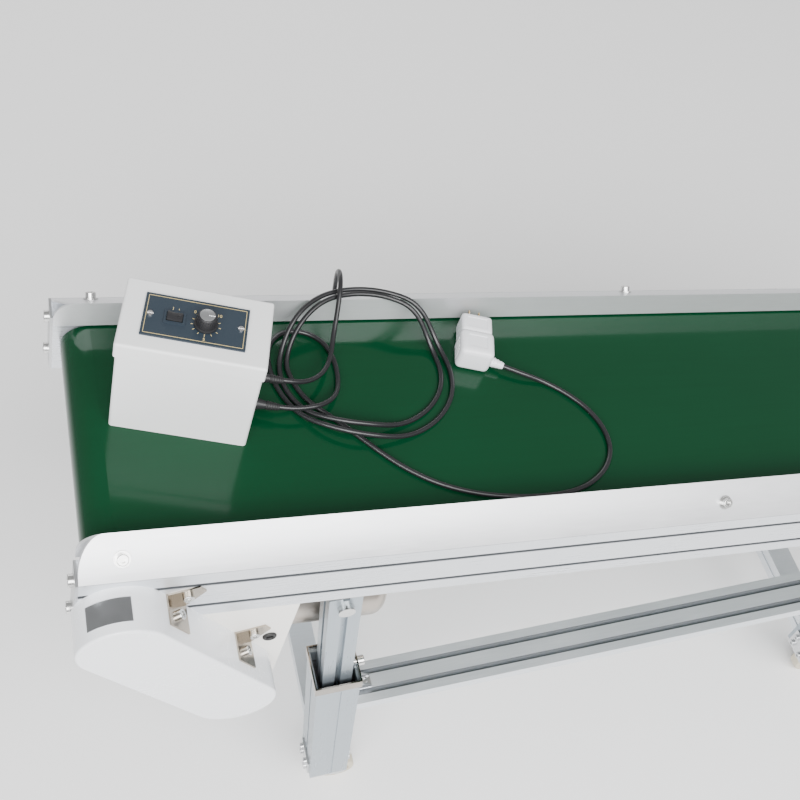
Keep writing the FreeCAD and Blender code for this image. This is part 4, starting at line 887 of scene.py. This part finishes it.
    def execute(self, context):
        looks = context.scene.conveyor_looks
        shell = moulded(
            "box_plastic", colour=tuple(looks.box_colour), roughness=0.42, grain=350.0,
            strength=0.10, shade=0.97,
        )
        black = moulded(
            "control_black", colour=(0.018, 0.018, 0.020), roughness=0.40, grain=500.0,
            strength=0.06, shade=0.8,
        )
        grey = plated_steel(
            "cap_grey", light=(0.60, 0.61, 0.62), dark=(0.48, 0.49, 0.50), roughness=0.34,
        )
        slate = moulded(
            "panel_print", colour=(0.022, 0.034, 0.048), roughness=0.38, grain=450.0, strength=0.03,
            shade=0.85,
        )
        gold = moulded(
            "panel_gold", colour=(0.62, 0.50, 0.24), roughness=0.40, grain=500.0, strength=0.02,
            shade=0.95,
        )
        steel = plated_steel(
            "panel_screw_steel", light=(0.80, 0.80, 0.80), dark=(0.62, 0.62, 0.62), roughness=0.28,
        )
        wear(shell, ["control_box", "control_lid"])
        wear(slate, ["control_panel"])
        wear(black, ["cable_glands"])
        wear(steel, ["panel_screws"])
        self.knob(looks, black, grey)
        self.rocker(black)
        self.marks(looks, gold)
        return {"FINISHED"}


class CONVEYOR_OT_drive(bpy.types.Operator):
    """Finishes the drive cover, its clips, the motor and the motor plate"""

    bl_idname = "conveyor.drive"
    bl_label = "Drive"

    GROMMET_AT = (0.218, -0.001, -0.169)
    GROMMET_RING = (0.0062, 0.0022)
    GROMMET_PLUG = (0.0052, 0.002)
    GROMMET_PLUG_Y = 0.001

    def execute(self, context):
        looks = context.scene.conveyor_looks
        paint = moulded(
            "cover_paint", colour=tuple(looks.cover_colour), roughness=0.26, grain=160.0,
            strength=0.05, shade=0.985, coat=0.35,
        )
        cream = moulded(
            "plate_paint", colour=tuple(looks.plate_colour), roughness=0.36, grain=160.0,
            strength=0.05, shade=0.97, coat=0.10,
        )
        grey = plated_steel(
            "badge_grey", light=(0.46, 0.47, 0.48), dark=(0.34, 0.35, 0.36), roughness=0.36,
        )
        clip = plated_steel(
            "clip_stainless", light=(0.56, 0.50, 0.42), dark=(0.30, 0.26, 0.21), roughness=0.20,
        )
        bolt = plated_steel(
            "bolt_zinc", light=(0.80, 0.80, 0.79), dark=(0.55, 0.55, 0.54), roughness=0.26,
        )
        motor = plated_steel(
            "motor_skin", light=(0.56, 0.51, 0.46), dark=(0.40, 0.36, 0.32), roughness=0.34,
        )
        cast = moulded(
            "gearbox_casting", colour=(0.44, 0.45, 0.46), roughness=0.52, grain=220.0,
            strength=0.25, shade=0.85,
        )
        black = moulded(
            "drive_rubber", colour=(0.020, 0.020, 0.020), roughness=0.60, grain=300.0,
            strength=0.15, shade=0.8,
        )
        wear(paint, ["drive_cover"])
        wear(cream, ["motor_plate"])
        wear(grey, ["cover_badge"])
        wear(clip, ["cover_clips"])
        wear(bolt, ["cover_screws", "head_sprocket", "motor_sprocket"])
        wear(motor, ["motor"])
        wear(cast, ["gearbox"])
        wear(black, ["drive_loop"])
        level = (math.pi / 2, 0, 0)
        ring = torus("plate_grommet", *self.GROMMET_RING, self.GROMMET_AT, level)
        middle = (self.GROMMET_AT[0], self.GROMMET_PLUG_Y, self.GROMMET_AT[2])
        plug = bevel(drum("plug", *self.GROMMET_PLUG, middle, level), 0.0004, 2)
        settle(joined("plate_grommet", [ring, plug]), BED, "bed", black)
        return {"FINISHED"}


class CONVEYOR_OT_bed(bpy.types.Operator):
    """Finishes the belt, rollers, side rails and guards"""

    bl_idname = "conveyor.bed"
    bl_label = "Bed"

    def execute(self, context):
        looks = context.scene.conveyor_looks
        rail = drawn_aluminium(
            "bed_rail_anodised", light=(0.80, 0.82, 0.85), dark=(0.62, 0.65, 0.69), roughness=0.30,
            stretch=(0.4, 9, 9), tilted=True, groove_shade_boxes=rail_grooves(),
        )
        sheet = drawn_aluminium(
            "guard_satin", light=(0.86, 0.87, 0.89), dark=(0.76, 0.77, 0.79), roughness=0.40,
            stretch=(0.6, 6, 6), tilted=True,
        )
        green = belt_surface(tuple(looks.belt_colour))
        bolt = plated_steel(
            "frame_zinc", light=(0.82, 0.82, 0.81), dark=(0.56, 0.56, 0.55), roughness=0.25,
        )
        steel = plated_steel(
            "bed_steel", light=(0.66, 0.67, 0.68), dark=(0.52, 0.53, 0.54), roughness=0.38,
        )
        plate = plated_steel(
            "end_plate_grey", light=(0.70, 0.71, 0.72), dark=(0.55, 0.56, 0.57), roughness=0.42,
        )
        wear(rail, ["side_rail_near", "side_rail_far", "cross_ties"])
        wear(sheet, ["guard_near", "guard_far"])
        wear(green, ["conveyor_belt"])
        wear(bolt, ["frame_bolts"])
        wear(plate, ["end_plates"])
        disc = plated_steel(
            "pivot_plate_steel", light=(0.56, 0.52, 0.47), dark=(0.36, 0.33, 0.29), roughness=0.28,
        )
        wear(steel, ["slider_plate", "head_roller", "tail_roller", "return_roller",
                     "roller_bearings", "return_roller_brackets"])
        wear(disc, ["head_pivot_brackets", "tail_pivot_brackets"])
        return {"FINISHED"}


class CONVEYOR_OT_stand(bpy.types.Operator):
    """Finishes the stand and makes the caster wheels"""

    bl_idname = "conveyor.stand"
    bl_label = "Stand"

    WHEEL_REACH = 0.030
    WHEEL_WIDTH = 0.022
    WHEEL_EDGE = 0.004
    HUB_MARGIN = 0.005
    HUB_DEPTH = 0.0025
    FLAT_SHARE = 0.1
    BOSS_R = 0.0075
    BOSS_RISE = 0.0006

    def wheel(self, index, tyre):
        """A moulded wheel with a sunk hub and a raised boss on both sides."""
        name = "caster_tyre_%d" % index
        body = drum(name, self.WHEEL_REACH, self.WHEEL_WIDTH, (0, 0, 0), sides=64)
        body = bevel(body, self.WHEEL_EDGE, 4)
        flat = self.WHEEL_REACH * self.FLAT_SHARE
        for side in (-1, 1):
            body = sink(
                body, lambda f: f.normal.z * side > FACING and f.area > flat * flat,
                self.HUB_MARGIN, self.HUB_DEPTH,
            )
        boss = drum("boss", self.BOSS_R, self.WHEEL_WIDTH + self.BOSS_RISE, (0, 0, 0), sides=32)
        boss = bevel(boss, 0.0008, 2)
        axle = Matrix.Translation(JOINTS["caster_roll_%d" % index]["pos_m"])
        place = axle @ Matrix.Rotation(math.pi / 2, 4, "X")
        node = "caster_wheel_%d" % index
        settle(joined(name, [body, boss]), place, node, tyre, [node])

    def execute(self, context):
        rail = drawn_aluminium(
            "stand_rail_anodised", light=(0.84, 0.87, 0.90), dark=(0.66, 0.70, 0.74),
            roughness=0.34, stretch=(0.4, 9, 9), tilted=False, groove_shade_boxes=stretcher_grooves(),
        )
        # Painted shade: the legs are the stand's aluminium made much darker, as the legs stand in
        # shade.
        shaded_leg = drawn_aluminium(
            "leg_anodised_painted_shade", light=(0.42, 0.47, 0.51), dark=(0.28, 0.33, 0.37), roughness=0.30,
            stretch=(9, 9, 0.4), tilted=False,
        )
        band = plated_steel(
            "collar_stainless", light=(0.44, 0.40, 0.35), dark=(0.24, 0.21, 0.18), roughness=0.20,
        )
        steel = plated_steel(
            "stand_steel", light=(0.72, 0.73, 0.74), dark=(0.56, 0.57, 0.58), roughness=0.36,
        )
        bolt = plated_steel(
            "stand_zinc", light=(0.82, 0.82, 0.81), dark=(0.56, 0.56, 0.55), roughness=0.25,
        )
        bush = moulded(
            "bush_plastic", colour=(0.022, 0.022, 0.024), roughness=0.5, grain=400.0, strength=0.06,
            shade=0.85,
        )
        tyre = moulded(
            "wheel_tread", colour=(0.66, 0.60, 0.47), roughness=0.55, grain=260.0, strength=0.12,
            shade=0.86,
        )
        wear(rail, ["stretcher_near", "stretcher_far", "cross_rails"])
        wear(shaded_leg, ["head_outer_legs", "tail_outer_legs", "head_inner_legs", "tail_inner_legs"])
        wear(band, ["leg_collars"])
        wear(steel, ["corner_brackets", "foot_plates", "caster_plates"])
        wear(steel, ["caster_fork_%d" % i for i in range(1, 5)])
        wear(bolt, ["lock_bolts", "head_pivot_bolts", "tail_pivot_bolts"])
        wear(bush, ["leg_bushes"])
        for index in range(1, 5):
            self.wheel(index, tyre)
        return {"FINISHED"}


class CONVEYOR_PT_panel(bpy.types.Panel):
    """Lists the conveyor's settings and its pieces"""

    bl_idname = "CONVEYOR_PT_panel"
    bl_label = "Belt conveyor"
    bl_space_type = "VIEW_3D"
    bl_region_type = "UI"
    bl_category = "Conveyor"

    def draw(self, context):
        looks = context.scene.conveyor_looks
        for name in ConveyorLooks.__annotations__:
            self.layout.prop(looks, name)
        for maker in MAKERS:
            self.layout.operator(maker.bl_idname)


MAKERS = (
    CONVEYOR_OT_stage,
    CONVEYOR_OT_plug_and_cords,
    CONVEYOR_OT_control_box,
    CONVEYOR_OT_drive,
    CONVEYOR_OT_bed,
    CONVEYOR_OT_stand,
)
CLASSES = (ConveyorLooks, *MAKERS, CONVEYOR_PT_panel)


def register():
    for made in CLASSES:
        bpy.utils.register_class(made)
    bpy.types.Scene.conveyor_looks = PointerProperty(type=ConveyorLooks)


def unregister():
    del bpy.types.Scene.conveyor_looks
    for made in reversed(CLASSES):
        bpy.utils.unregister_class(made)


def main():
    register()
    bpy.ops.conveyor.stage()
    bpy.ops.conveyor.plug_and_cords()
    bpy.ops.conveyor.control_box()
    bpy.ops.conveyor.drive()
    bpy.ops.conveyor.bed()
    bpy.ops.conveyor.stand()


if __name__ == "__main__":
    main()
